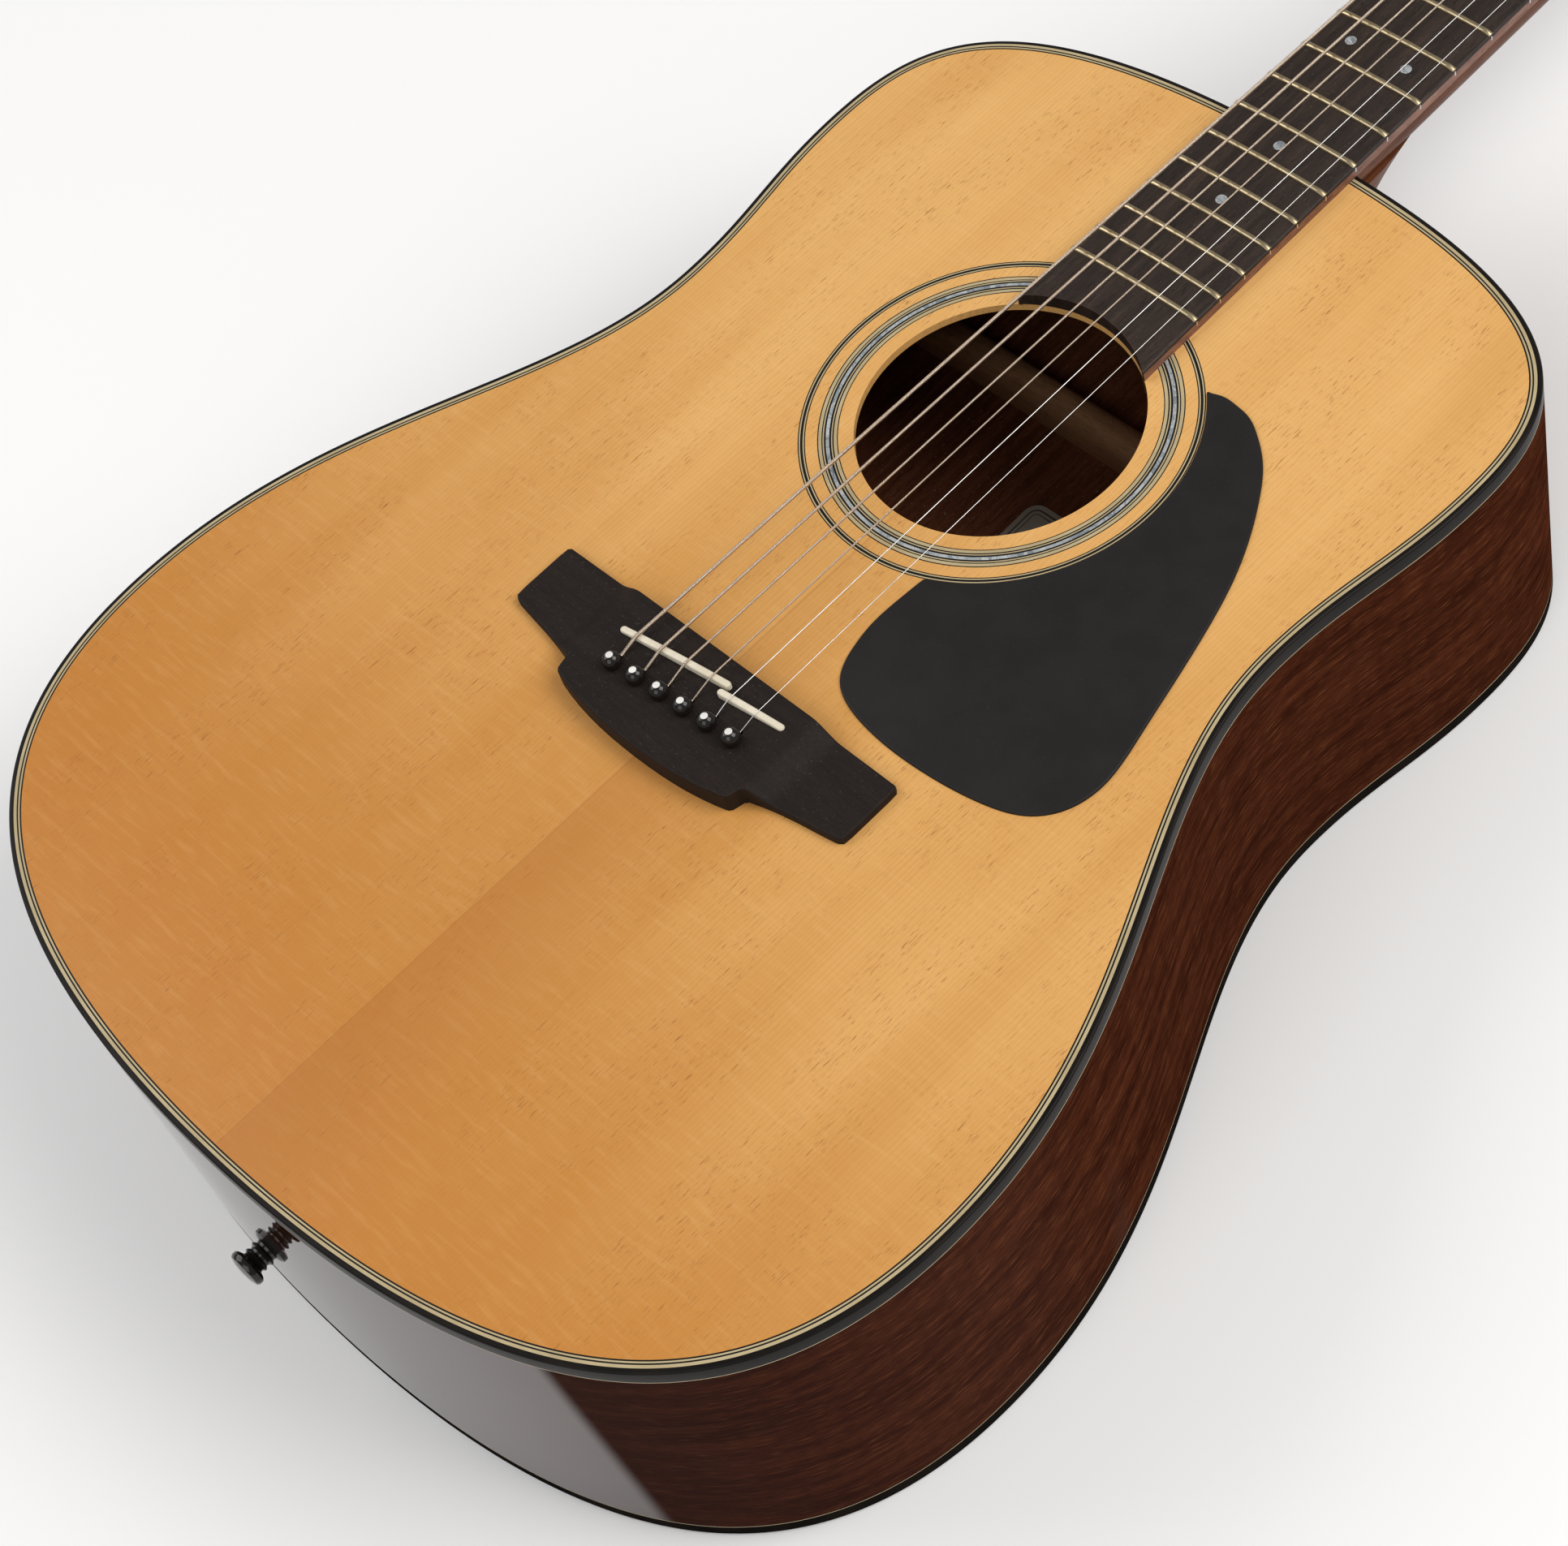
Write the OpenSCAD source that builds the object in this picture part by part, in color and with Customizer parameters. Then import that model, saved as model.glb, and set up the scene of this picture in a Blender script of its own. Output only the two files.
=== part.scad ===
// Steel-string acoustic guitar, flat-top dreadnought body, 14 frets clear of the body.
// It lies on its flat back: +Z up out of the soundboard, +Y towards the headstock,
// +X towards the thin strings. All sizes in millimetres.

/* [Part] */
// Sub-part to build, or all of them

/* [Body] */
// Length of the body along its centre line
body_length = 516; // [480:1:560]
// Width of the lower bout
lower_bout = 402; // [370:1:430]
// Width at the waist
waist_width = 281; // [250:1:300]
// Width of the upper bout
upper_bout = 300; // [270:1:320]
// Depth of the body at the tail, over the plates
depth_tail = 126; // [110:1:135]
// Depth of the body at the neck, over the plates
depth_neck = 110; // [95:1:115]
// Thickness of the soundboard
top_thickness = 3; // [2.5:0.1:3.5]
// Thickness of the back
back_thickness = 3; // [2.5:0.1:3.5]
// Thickness of the bent sides
side_thickness = 2.6; // [2.4:0.1:3.2]

/* [Edges and inlays] */
// Thickness of the binding, across the edge
binding_width = 1.9; // [1.5:0.1:2.2]
// Height of the binding, down the side
binding_height = 6; // [5:0.5:8]
// Width of one thin purfling line
purfling_line = 0.55; // [0.4:0.05:0.7]
// Width of the wide light purfling line
purfling_wide = 1.05; // [0.8:0.05:1.3]
// Depth of the purfling and rosette grooves
inlay_depth = 1.4; // [1:0.1:1.6]
// Radius of the soundhole
soundhole_radius = 50.5; // [46:0.5:53]
// Distance from the neck end of the body to the soundhole's centre
soundhole_setback = 153.5; // [148:0.5:160]
// Thickness of the pickguard
pickguard_thickness = 1; // [0.6:0.1:1.4]

/* [Neck] */
// Scale length, from the nut to the nominal saddle line
scale_length = 644; // [632:1:650]
// Width of the fretboard at the nut
nut_width = 43; // [41:0.5:46]
// Width of the fretboard at the twelfth fret
octave_width = 54.2; // [52:0.2:57]
// Thickness of the fretboard at its middle
board_thickness = 5.8; // [5:0.2:7]
// Radius of the fretboard's crown
board_radius = 406; // [300:1:510]
// Height of the fret wire
fret_height = 1.1; // [0.9:0.05:1.3]
// Width of the fret wire
fret_width = 2.3; // [1.8:0.1:2.8]
// Tilt of the headstock, in degrees
head_angle = 15; // [12:0.5:17]
// Length of the headstock beyond the nut
head_length = 186; // [180:1:200]
// Thickness of the headstock under its veneer
head_thickness = 14; // [13:0.5:16]

/* [Bridge] */
// Width of the bridge, across the strings
bridge_width = 160; // [150:1:170]
// Height of the bridge at its middle
bridge_height = 8.4; // [7.5:0.1:9.5]
// Spacing of the bridge pins
pin_spacing = 10.9; // [10.3:0.1:11.2]
// Height of the saddle's top over the soundboard
saddle_height = 11; // [10.5:0.1:12]

/* [Tuners] */
// Distance from the nut to the first pair of posts
post_start = 38; // [34:1:42]
// Distance between posts along the headstock
post_pitch = 40; // [38:1:42]
// Distance of the posts from the centre line
post_offset = 21; // [20:0.5:22]
// Radius of a post
post_radius = 3; // [2.8:0.1:3.2]
// Teeth on each post's gear
gear_teeth = 14; // [12:1:16]
// Radius of a tuner button
button_radius = 9; // [8:0.5:10]

/* [Fits] */
// Radial running clearance of turning shafts
running_gap = 0.06; // [0.03:0.01:0.1]
// Gap left round pieces fixed in holes and grooves
seat_gap = 0.02; // [0.01:0.01:0.03]

/* [Hidden] */
$fn = 64;
tiny = 0.01;
// straight pieces per quarter curve of the outline
steps = 14;

// --- lengths along the neck: y = 0 is the nominal saddle line
nut_y = scale_length;
nut_depth = 5;
joint_y = fret_y(14) + 1;
tail_y = joint_y - body_length;
hole_y = joint_y - soundhole_setback;
lower_y = tail_y + 0.263 * body_length;
waist_y = tail_y + 0.664 * body_length;
upper_y = tail_y + 0.842 * body_length;

// --- the back slopes up towards the neck; the whole guitar is turned to lie flat on it
slope = atan((depth_tail - depth_neck) / body_length);

// --- the string set: radii from the thin string (1) to the thick one (6)
string_radii = [0.16, 0.21, 0.33, 0.43, 0.57, 0.68];
nut_margin = 3.3;
slot_gap = 0.08;
plate_thickness = 2.5;
ball_radius = 1.9;
turns = 3;
saddle_tilt = 0.122;
saddle_thickness = 2.6;
pin_line_y = -20;
pin_slope = 0.063;

// --- tuners
worm_radius = 2.4;
shaft_radius = 1.5;
gear_radius = 4.8;
worm_distance = gear_radius + worm_radius + 0.15;
veneer = 2;
back_face = -veneer - head_thickness;
worm_z = back_face - 6;
post_top = 17;
winding_z = 8;

function fret_y(n) = scale_length * pow(2, -n / 12);
function board_width(y) = nut_width + (nut_y - y) * (octave_width - nut_width) / (nut_y / 2);
function crown(x) = x * x / (2 * board_radius);

// --- the body outline: four cubic curves from the tail round to the neck
function bez(p, t) = pow(1 - t, 3) * p[0] + 3 * pow(1 - t, 2) * t * p[1]
    + 3 * (1 - t) * t * t * p[2] + pow(t, 3) * p[3];
function slope_of(p, t) = 3 * pow(1 - t, 2) * (p[1] - p[0]) + 6 * (1 - t) * t * (p[2] - p[1])
    + 3 * t * t * (p[3] - p[2]);
function unit(v) = v / norm(v);
function moved(p, t, d) = bez(p, t) + d * unit([slope_of(p, t)[1], -slope_of(p, t)[0]]);

lower_x = lower_bout / 2;
waist_x = waist_width / 2;
upper_x = upper_bout / 2;
curves = [
    [[0, tail_y], [0.758 * lower_x, tail_y],
     [lower_x, lower_y - 0.603 * (lower_y - tail_y)], [lower_x, lower_y]],
    [[lower_x, lower_y], [lower_x, lower_y + 0.433 * (waist_y - lower_y)],
     [waist_x, waist_y - 0.315 * (waist_y - lower_y)], [waist_x, waist_y]],
    [[waist_x, waist_y], [waist_x, waist_y + 0.391 * (upper_y - waist_y)],
     [upper_x, upper_y - 0.417 * (upper_y - waist_y)], [upper_x, upper_y]],
    [[upper_x, upper_y], [upper_x, upper_y + 0.578 * (joint_y - upper_y)],
     [0.859 * upper_x, joint_y], [0, joint_y]]
];

function half(d) = [for (c = curves) for (i = [0 : steps - 1]) moved(c, i / steps, d)];
function outline(d) = concat(
    half(d),
    [[0, joint_y + d]],
    [for (i = [len(half(d)) - 1 : -1 : 1]) [-half(d)[i][0], half(d)[i][1]]]);

module shape(d) {
    polygon(outline(d));
}

module band(outer, inner) {
    difference() {
        shape(outer);
        shape(inner);
    }
}

// A slab standing on the sloping outer face of the back, from height a to height b
module over_back(a, b) {
    translate([0, tail_y, -depth_tail])
        rotate([slope, 0, 0])
            translate([-300, -60, a])
                cube([600, 700, b - a]);
}

// Everything is drawn with the soundboard level, then laid on the back
function laid_y(y, z) = (y - tail_y) * cos(slope) + (z + depth_tail) * sin(slope);
head_tip_y = nut_y + nut_depth + head_length * cos(head_angle);
head_tip_z = -head_length * sin(head_angle);
pin_z = -0.51 * depth_tail;
pin_reach = 13;
middle = (laid_y(head_tip_y, head_tip_z) + laid_y(tail_y - pin_reach, pin_z)) / 2;

module lie() {
    translate([0, -middle, 0])
        rotate([-slope, 0, 0])
            translate([0, -tail_y, depth_tail])
                children();
}

module on_head() {
    translate([0, nut_y + nut_depth, 0])
        rotate([-head_angle, 0, 0])
            children();
}

module along_y(from, to, r1, r2) {
    translate([0, from, 0])
        rotate([-90, 0, 0])
            cylinder(h = to - from, r1 = r1, r2 = r2);
}

// A round bar from one point to another
module bar(a, b, r) {
    v = b - a;
    translate(a)
        rotate([0, acos(v[2] / norm(v)), atan2(v[1], v[0])])
            cylinder(h = norm(v), r = r, $fn = 24);
}

module ring(outer, inner, from, to) {
    translate([0, hole_y, from])
        difference() {
            cylinder(h = to - from, r = outer);
            translate([0, 0, -1])
                cylinder(h = to - from + 2, r = inner);
        }
}

// ---------------------------------------------------------------- the box

edge = binding_width;
inner_edge = edge + 3 * purfling_line + purfling_wide;
// rosette rings, as inner and outer radii
rosette_start = soundhole_radius + 5.5;
light_rings = [[0.3, 1.5], [5.7, 6.9], [11.8, 12.3], [13.1, 13.6]];
dark_rings = [[0, 0.3], [1.5, 3], [4.3, 5.7], [6.9, 7.2], [11.5, 11.8], [12.3, 13.1], [13.6, 14.1]];
pearl_rings = [[3, 4.3]];
rosette_end = rosette_start + 14.1;

module rings(list) {
    for (r = list)
        ring(rosette_start + r[1], rosette_start + r[0], -inlay_depth, 0);
}

module soundboard() {
    color([0.86, 0.62, 0.36])
        lie()
            difference() {
                union() {
                    translate([0, 0, -top_thickness])
                        linear_extrude(top_thickness)
                            shape(-inner_edge);
                    translate([0, 0, -top_thickness])
                        linear_extrude(top_thickness - inlay_depth)
                            shape(-edge);
                }
                translate([0, hole_y, -10])
                    cylinder(h = 20, r = soundhole_radius);
                ring(rosette_start + 7.2, rosette_start, -inlay_depth, 1);
                ring(rosette_end, rosette_start + 11.5, -inlay_depth, 1);
                pin_holes();
            }
}

module purfling_light() {
    color([0.78, 0.7, 0.55])
        lie()
            translate([0, 0, -inlay_depth])
                linear_extrude(inlay_depth) {
                    band(-edge, -edge - purfling_wide);
                    band(-edge - purfling_wide - purfling_line, -edge - purfling_wide - 2 * purfling_line);
                }
}

module purfling_dark() {
    color([0.08, 0.06, 0.05])
        lie()
            translate([0, 0, -inlay_depth])
                linear_extrude(inlay_depth) {
                    band(-edge - purfling_wide, -edge - purfling_wide - purfling_line);
                    band(-edge - purfling_wide - 2 * purfling_line, -inner_edge);
                }
}

module top_binding() {
    color([0.08, 0.06, 0.05])
        lie()
            difference() {
                translate([0, 0, -binding_height])
                    linear_extrude(binding_height)
                        band(0, -edge);
                truss_bore();
            }
}

module wall(outer, inner) {
    translate([0, 0, -depth_tail - 10])
        linear_extrude(depth_tail + 20)
            band(outer, inner);
}

module back_binding() {
    color([0.08, 0.06, 0.05])
        lie()
            intersection() {
                wall(0, -edge);
                over_back(0, binding_height);
            }
}

module back_plate() {
    color([0.3, 0.15, 0.09])
        lie()
            intersection() {
                translate([0, 0, -depth_tail - 10])
                    linear_extrude(depth_tail + 20)
                        shape(-edge);
                over_back(0, back_thickness);
            }
}

// One bent side: thick between the bindings, thinned behind them
module side_ring() {
    difference() {
        union() {
            intersection() {
                wall(-edge, -side_thickness);
                over_back(back_thickness, depth_tail);
            }
            intersection() {
                wall(0, -edge);
                over_back(binding_height, depth_tail);
            }
        }
        translate([-300, tail_y - 50, -top_thickness])
            cube([600, body_length + 100, 50]);
        translate([0, 0, -binding_height])
            linear_extrude(20)
                band(1, -edge);
        bolt_holes(3.2);
        truss_bore();
        end_hole();
    }
}

module half_space(sign) {
    translate([sign > 0 ? 0 : -400, tail_y - 100, -300])
        cube([400, body_length + 200, 600]);
}

module side_bass() {
    color([0.3, 0.15, 0.09])
        lie()
            intersection() {
                side_ring();
                half_space(-1);
            }
}

module side_treble() {
    color([0.3, 0.15, 0.09])
        lie()
            intersection() {
                side_ring();
                half_space(1);
            }
}

neck_block_length = 58;
neck_block_width = 76;
tail_block_length = 20;
tail_block_width = 90;
truss_z = -top_thickness - 5.3;
truss_radius = 3;
bolt_depths = [-32, -74];
bolt_ends = [joint_y + 16, joint_y + 8];

module bolt_holes(r) {
    for (k = [0, 1])
        translate([0, 0, bolt_depths[k]])
            along_y(joint_y - neck_block_length - 20, bolt_ends[k] + 1, r, r);
}

module truss_bore() {
    translate([0, 0, truss_z])
        along_y(joint_y - 12, joint_y + 4, truss_radius + seat_gap, truss_radius + seat_gap);
}

module end_hole() {
    translate([0, 0, pin_z])
        along_y(tail_y - 20, tail_y + 22, 4 + seat_gap, 4 + seat_gap);
}

module inside(d) {
    intersection() {
        translate([0, 0, -depth_tail - 10])
            linear_extrude(depth_tail + 10 - top_thickness)
                shape(-side_thickness - d);
        over_back(back_thickness, depth_tail);
    }
}

module neck_block() {
    color([0.55, 0.36, 0.22])
        lie()
            difference() {
                intersection() {
                    inside(0);
                    translate([-neck_block_width / 2, joint_y - neck_block_length, -200])
                        cube([neck_block_width, 100, 200]);
                }
                bolt_holes(3.2);
                translate([0, 0, truss_z])
                    along_y(0, nut_y, truss_radius + seat_gap, truss_radius + seat_gap);
            }
}

module tail_block() {
    color([0.55, 0.36, 0.22])
        lie()
            difference() {
                intersection() {
                    inside(0);
                    translate([-tail_block_width / 2, tail_y - 50, -200])
                        cube([tail_block_width, 50 + tail_block_length, 200]);
                }
                end_hole();
            }
}

lining_width = 5.5;
lining_height = 14;

module linings() {
    color([0.62, 0.42, 0.26])
        lie()
            difference() {
                union() {
                    translate([0, 0, -top_thickness - lining_height])
                        linear_extrude(lining_height)
                            band(-side_thickness, -side_thickness - lining_width);
                    intersection() {
                        wall(-side_thickness, -side_thickness - lining_width);
                        over_back(back_thickness, back_thickness + lining_height);
                    }
                }
                translate([-neck_block_width / 2, joint_y - neck_block_length, -200])
                    cube([neck_block_width, 100, 300]);
                translate([-tail_block_width / 2, tail_y - 50, -200])
                    cube([tail_block_width, 50 + tail_block_length, 300]);
            }
}

// A straight brace under the soundboard from point a to point b
module top_bar(a, b, w, h) {
    v = b - a;
    translate([a[0], a[1], -top_thickness - h])
        rotate([0, 0, atan2(v[1], v[0])])
            translate([0, -w / 2, 0])
                cube([norm(v), w, h]);
}

cross_y = hole_y - 76;
cross_angle = 48;
inner_line = lining_width + 0.5;

module top_braces() {
    color([0.8, 0.62, 0.4])
        lie()
            difference() {
                intersection() {
                    union() {
                        for (s = [-1, 1]) {
                            top_bar([-s * 320 * sin(cross_angle), cross_y - 320 * cos(cross_angle)],
                                [s * 170 * sin(cross_angle), cross_y + 170 * cos(cross_angle)], 8, 14);
                            top_bar([s * 58, hole_y - 30], [s * 58, hole_y + 44], 7, 5);
                            top_bar([s * 98, cross_y - 30], [s * 165, cross_y - 64], 6, 8);
                        }
                        top_bar([78, cross_y - 108], [-70, cross_y - 188], 7, 9);
                        top_bar([40, cross_y - 160], [-40, cross_y - 205], 7, 9);
                        top_bar([-150, hole_y + 74], [150, hole_y + 74], 10, 14);
                    }
                    inside(inner_line);
                }
                translate([0, 0, truss_z])
                    along_y(0, joint_y - neck_block_length - 1, 6.5, 6.5);
            }
}

module bridge_plate() {
    color([0.72, 0.5, 0.3])
        lie()
            difference() {
                translate([0, 0, -top_thickness - plate_thickness])
                    linear_extrude(plate_thickness)
                        polygon([[-44, 4], [44, 4], [72, -36], [-72, -36]]);
                pin_holes();
            }
}

module back_braces() {
    color([0.8, 0.62, 0.4])
        lie()
            intersection() {
                union() {
                    intersection() {
                        for (y = [joint_y - 84, hole_y - 26, lower_y + 60, tail_y + 76])
                            translate([-300, y - 7, -200])
                                cube([600, 14, 300]);
                        over_back(back_thickness, back_thickness + 15);
                    }
                    intersection() {
                        translate([-9, tail_y + 24, -200])
                            cube([18, body_length - 86, 300]);
                        over_back(back_thickness, back_thickness + 2);
                    }
                }
                inside(inner_line);
            }
}

module rosette_light() {
    color([0.78, 0.7, 0.55])
        lie()
            rings(light_rings);
}

module rosette_dark() {
    color([0.08, 0.06, 0.05])
        lie()
            rings(dark_rings);
}

module rosette_pearl() {
    color([0.75, 0.78, 0.74])
        lie()
            rings(pearl_rings);
}

// --- pickguard: a smooth closed line through a few corners, seated on the rosette's rim
guard = [[36, 40], [52, 50], [62, 51], [74, 47], [91, 31], [110, -5], [124.5, -59], [130, -91],
    [120, -110.6], [95, -118.7], [60, -120], [35, -112.7], [26.5, -93], [26.8, -69], [30, -45]];
function wrap(i) = (i + len(guard)) % len(guard);
function through(i, t) = let (a = guard[wrap(i - 1)], b = guard[i], c = guard[wrap(i + 1)],
        d = guard[wrap(i + 2)])
    0.5 * (2 * b + (c - a) * t + (2 * a - 5 * b + 4 * c - d) * t * t
        + (3 * b - a - 3 * c + d) * pow(t, 3));

module pickguard() {
    color([0.1, 0.09, 0.09])
        lie()
            translate([0, hole_y, 0])
                difference() {
                    linear_extrude(pickguard_thickness)
                        polygon([for (i = [0 : len(guard) - 1]) for (t = [0 : 5]) through(i, t / 6)]);
                    translate([0, 0, -1])
                        cylinder(h = 5, r = rosette_end - rosette_start + soundhole_radius + 5.8);
                }
}

// ---------------------------------------------------------------- bridge and strings

function pin_x(i) = (3.5 - i) * pin_spacing;
function pin_y(i) = pin_line_y + pin_slope * pin_x(i);
function saddle_back(x) = (x > 0.9 * pin_spacing ? -9.4 : -5.8) + saddle_tilt * x - saddle_thickness / 2;
function string_r(i) = string_radii[i - 1];
function nut_x(i) = (3.5 - i) * (nut_width - 2 * nut_margin) / 5;
// string centre lines: under the bridge plate, out of the bridge, saddle, nut
function anchor(i) = [pin_x(i), pin_y(i) + 4.2, -top_thickness - plate_thickness - ball_radius - 0.1];
function exit_point(i) = [pin_x(i), pin_y(i) + 3.7 + string_r(i), bridge_height + 0.1];
function saddle_point(i) = [pin_x(i), saddle_back(pin_x(i)),
    saddle_height - crown(pin_x(i)) + string_r(i) + 0.06];
function nut_point(i) = [nut_x(i), nut_y + nut_depth,
    board_thickness - crown(nut_x(i)) + fret_height + 0.2 + string_r(i)];

module pin_holes() {
    for (i = [1 : 6]) {
        translate([pin_x(i), pin_y(i), -20])
            cylinder(h = 40, r = 2.6 + seat_gap);
        bar(anchor(i) - 3 * unit(exit_point(i) - anchor(i)),
            exit_point(i) + 3 * unit(exit_point(i) - anchor(i)), string_r(i) + 0.15);
    }
}

front_y = 4.5;
wing_back = -20.5;
belly_y = -40;
step_x = 41.5;
bridge_x = bridge_width / 2;
belly_curve = [[step_x, -35], [28, -39], [14, belly_y], [0, belly_y]];
wing_curve = [[bridge_x - 2, wing_back - 1.5], [bridge_x - 16, wing_back - 4],
    [step_x + 16, wing_back - 4], [step_x + 1.5, -29]];

bridge_half = concat(
    [[0, front_y], [bridge_x - 1.5, front_y], [bridge_x, front_y - 1.5], [bridge_x, wing_back]],
    [for (t = [0 : 6]) bez(wing_curve, t / 6)],
    [for (t = [0 : 7]) bez(belly_curve, t / 7)]);

tip_height = 3.2;
scoop = [[bridge_x - 28, tip_height], [bridge_x - 34, tip_height],
    [step_x + 7, bridge_height - 0.6], [step_x, bridge_height]];
bridge_side = concat(
    [[0, 0], [bridge_x + 1, 0], [bridge_x + 1, tip_height]],
    [for (t = [0 : 7]) bez(scoop, t / 7)],
    [[0, bridge_height]]);

function mirrored(list) = concat(list, [for (i = [len(list) - 2 : -1 : 1]) [-list[i][0], list[i][1]]]);

module bridge() {
    color([0.16, 0.12, 0.1])
        lie()
            difference() {
                intersection() {
                    linear_extrude(bridge_height)
                        polygon(mirrored(bridge_half));
                    translate([0, 20, 0])
                        rotate([90, 0, 0])
                            linear_extrude(80)
                                polygon(mirrored(bridge_side));
                }
                saddle_blanks(seat_gap);
                pin_holes();
            }
}

module saddle_blanks(gap) {
    for (s = [[-35.5, 12.5, -5.8], [10.5, 38, -9.4]])
        translate([0, s[2], 0])
            multmatrix([[1, 0, 0, 0], [saddle_tilt, 1, 0, 0], [0, 0, 1, 0]])
                translate([s[0] - gap, -saddle_thickness / 2 - gap, 3.2 - gap])
                    cube([s[1] - s[0] + 2 * gap, saddle_thickness + 2 * gap, 12]);
}

module saddles() {
    color([0.85, 0.8, 0.7])
        lie()
            intersection() {
                saddle_blanks(0);
                translate([0, 0, saddle_height - board_radius])
                    along_y(-40, 40, board_radius, board_radius, $fn = 900);
            }
}

module bridge_pins() {
    color([0.05, 0.05, 0.05])
        lie()
            for (i = [1 : 6])
                translate([pin_x(i), pin_y(i), 0])
                    difference() {
                        union() {
                            translate([0, 0, -14])
                                cylinder(h = 14 + bridge_height + 0.3, r1 = 2, r2 = 2.55);
                            translate([0, 0, bridge_height + 2.2])
                                sphere(r = 3.4);
                        }
                        translate([0, 0, bridge_height + 4.8])
                            cylinder(h = 2, r = 1.2);
                    }
}

module pin_dots() {
    color([0.9, 0.9, 0.88])
        lie()
            for (i = [1 : 6])
                translate([pin_x(i), pin_y(i), bridge_height + 4.8])
                    cylinder(h = 0.9, r = 1.2 - seat_gap);
}

// ---------------------------------------------------------------- neck

head_half = concat(
    [for (t = [0 : 6]) bez([[nut_width / 2, 0], [nut_width / 2, 14], [32, 10], [33.5, 26]], t / 6)],
    [for (t = [0 : 6]) bez([[37.5, head_length - 16], [37.8, head_length - 8],
        [34, head_length - 3], [24, head_length - 3.5]], t / 6)],
    [for (t = [1 : 4]) bez([[24, head_length - 3.5], [15, head_length - 4],
        [8, head_length], [0, head_length]], t / 4)]);
head_outline = concat(head_half, [for (i = [len(head_half) - 2 : -1 : 0]) [-head_half[i][0], head_half[i][1]]]);

function post_y(i) = post_start + post_pitch * (i > 3 ? 6 - i : i - 1);
function post_x(i) = (i > 3 ? -1 : 1) * post_offset;
function side_of(i) = i > 3 ? -1 : 1;

neck_bottom = 15.5;
axis_z = 8;
end_axis_z = 11;
heel_start = joint_y + 42;
neck_tilt = atan((end_axis_z - axis_z) / (nut_y - heel_start));

module neck_taper(low, high) {
    translate([0, 0, low])
        linear_extrude(high - low)
            polygon([[-board_width(joint_y - 20) / 2, joint_y - 20], [board_width(joint_y - 20) / 2, joint_y - 20],
                [nut_width / 2, nut_y + 0.5], [nut_width / 2, nut_y + nut_depth],
                [-nut_width / 2, nut_y + nut_depth], [-nut_width / 2, nut_y + 0.5]]);
}

module neck_shaft() {
    intersection() {
        neck_taper(-60, 0);
        translate([0, nut_y + nut_depth, axis_z])
            rotate([90 - neck_tilt, 0, 0])
                cylinder(h = nut_y + nut_depth - joint_y + 10, r1 = neck_bottom + axis_z,
                    r2 = board_width(joint_y) / 2 + 2.4, $fn = 96);
    }
}

heel_curve = [[13, -depth_neck - 2], [14, -depth_neck * 0.45], [24, -30], [54, -16]];

module heel() {
    intersection() {
        neck_taper(-depth_neck - 5, -2);
        translate([0, joint_y - 1, 0])
            rotate_extrude()
                polygon(concat([[0, -depth_neck - 2]], [for (t = [0 : 9]) bez(heel_curve, t / 9)],
                    [[54, -6], [0, -6]]));
    }
}

module head_slab(low, high) {
    on_head()
        translate([0, 0, low])
            linear_extrude(high - low)
                polygon(head_outline);
}

module tuner_bores(r) {
    on_head()
        for (i = [1 : 6])
            translate([post_x(i), post_y(i), -40])
                cylinder(h = 80, r = r);
}

module body_space(gap) {
    translate([0, 0, -depth_tail - 10])
        linear_extrude(depth_tail + 10)
            shape(gap);
}

module neck() {
    color([0.33, 0.17, 0.1])
        lie()
            difference() {
                union() {
                    neck_shaft();
                    heel();
                    head_slab(back_face, -veneer);
                }
                body_space(seat_gap);
                over_back(-20, back_thickness);
                on_head()
                    translate([-60, -30, -veneer])
                        cube([120, 260, 30]);
                tuner_bores(5 + seat_gap);
                bolt_holes(3 + seat_gap);
                translate([0, 0, truss_z])
                    along_y(joint_y - 5, nut_y - 40, truss_radius + seat_gap, truss_radius + seat_gap);
                screw_bores(1.2 + seat_gap);
            }
}

module heel_cap() {
    color([0.08, 0.06, 0.05])
        lie()
            difference() {
                intersection() {
                    heel();
                    over_back(0, back_thickness);
                }
                body_space(seat_gap);
            }
}

module board_crown(extra) {
    translate([0, 0, board_thickness - board_radius])
        along_y(hole_y, nut_y + 20, board_radius + extra, board_radius + extra, $fn = 900);
}

dot_radius = 2.15;
dot_spread = 12.6;
dot_places = [[3, 0], [5, 0], [7, 0], [9, 0], [12, -1], [12, 1], [15, 0], [17, 0]];

// Inlaid dots, their flat tops level with the low edge of the crowned board
module dots(r, depth, over) {
    for (d = dot_places) {
        top = board_thickness - crown(abs(d[1]) * dot_spread + r);
        translate([d[1] * dot_spread, (fret_y(d[0] - 1) + fret_y(d[0])) / 2, board_thickness - depth])
            cylinder(h = top + over - board_thickness + depth, r = r, $fn = 32);
    }
}

module fretboard() {
    color([0.2, 0.15, 0.12])
        lie()
            difference() {
                intersection() {
                    linear_extrude(board_thickness + 1)
                        polygon([[-board_width(hole_y) / 2, hole_y], [board_width(hole_y) / 2, hole_y],
                            [nut_width / 2, nut_y], [-nut_width / 2, nut_y]]);
                    board_crown(0);
                }
                translate([0, hole_y, -1])
                    cylinder(h = 20, r = soundhole_radius);
                dots(dot_radius + seat_gap, 1.5, 2);
            }
}

module position_dots() {
    color([0.75, 0.76, 0.74])
        lie()
            dots(dot_radius, 1.5 - seat_gap, 0);
}

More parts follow.
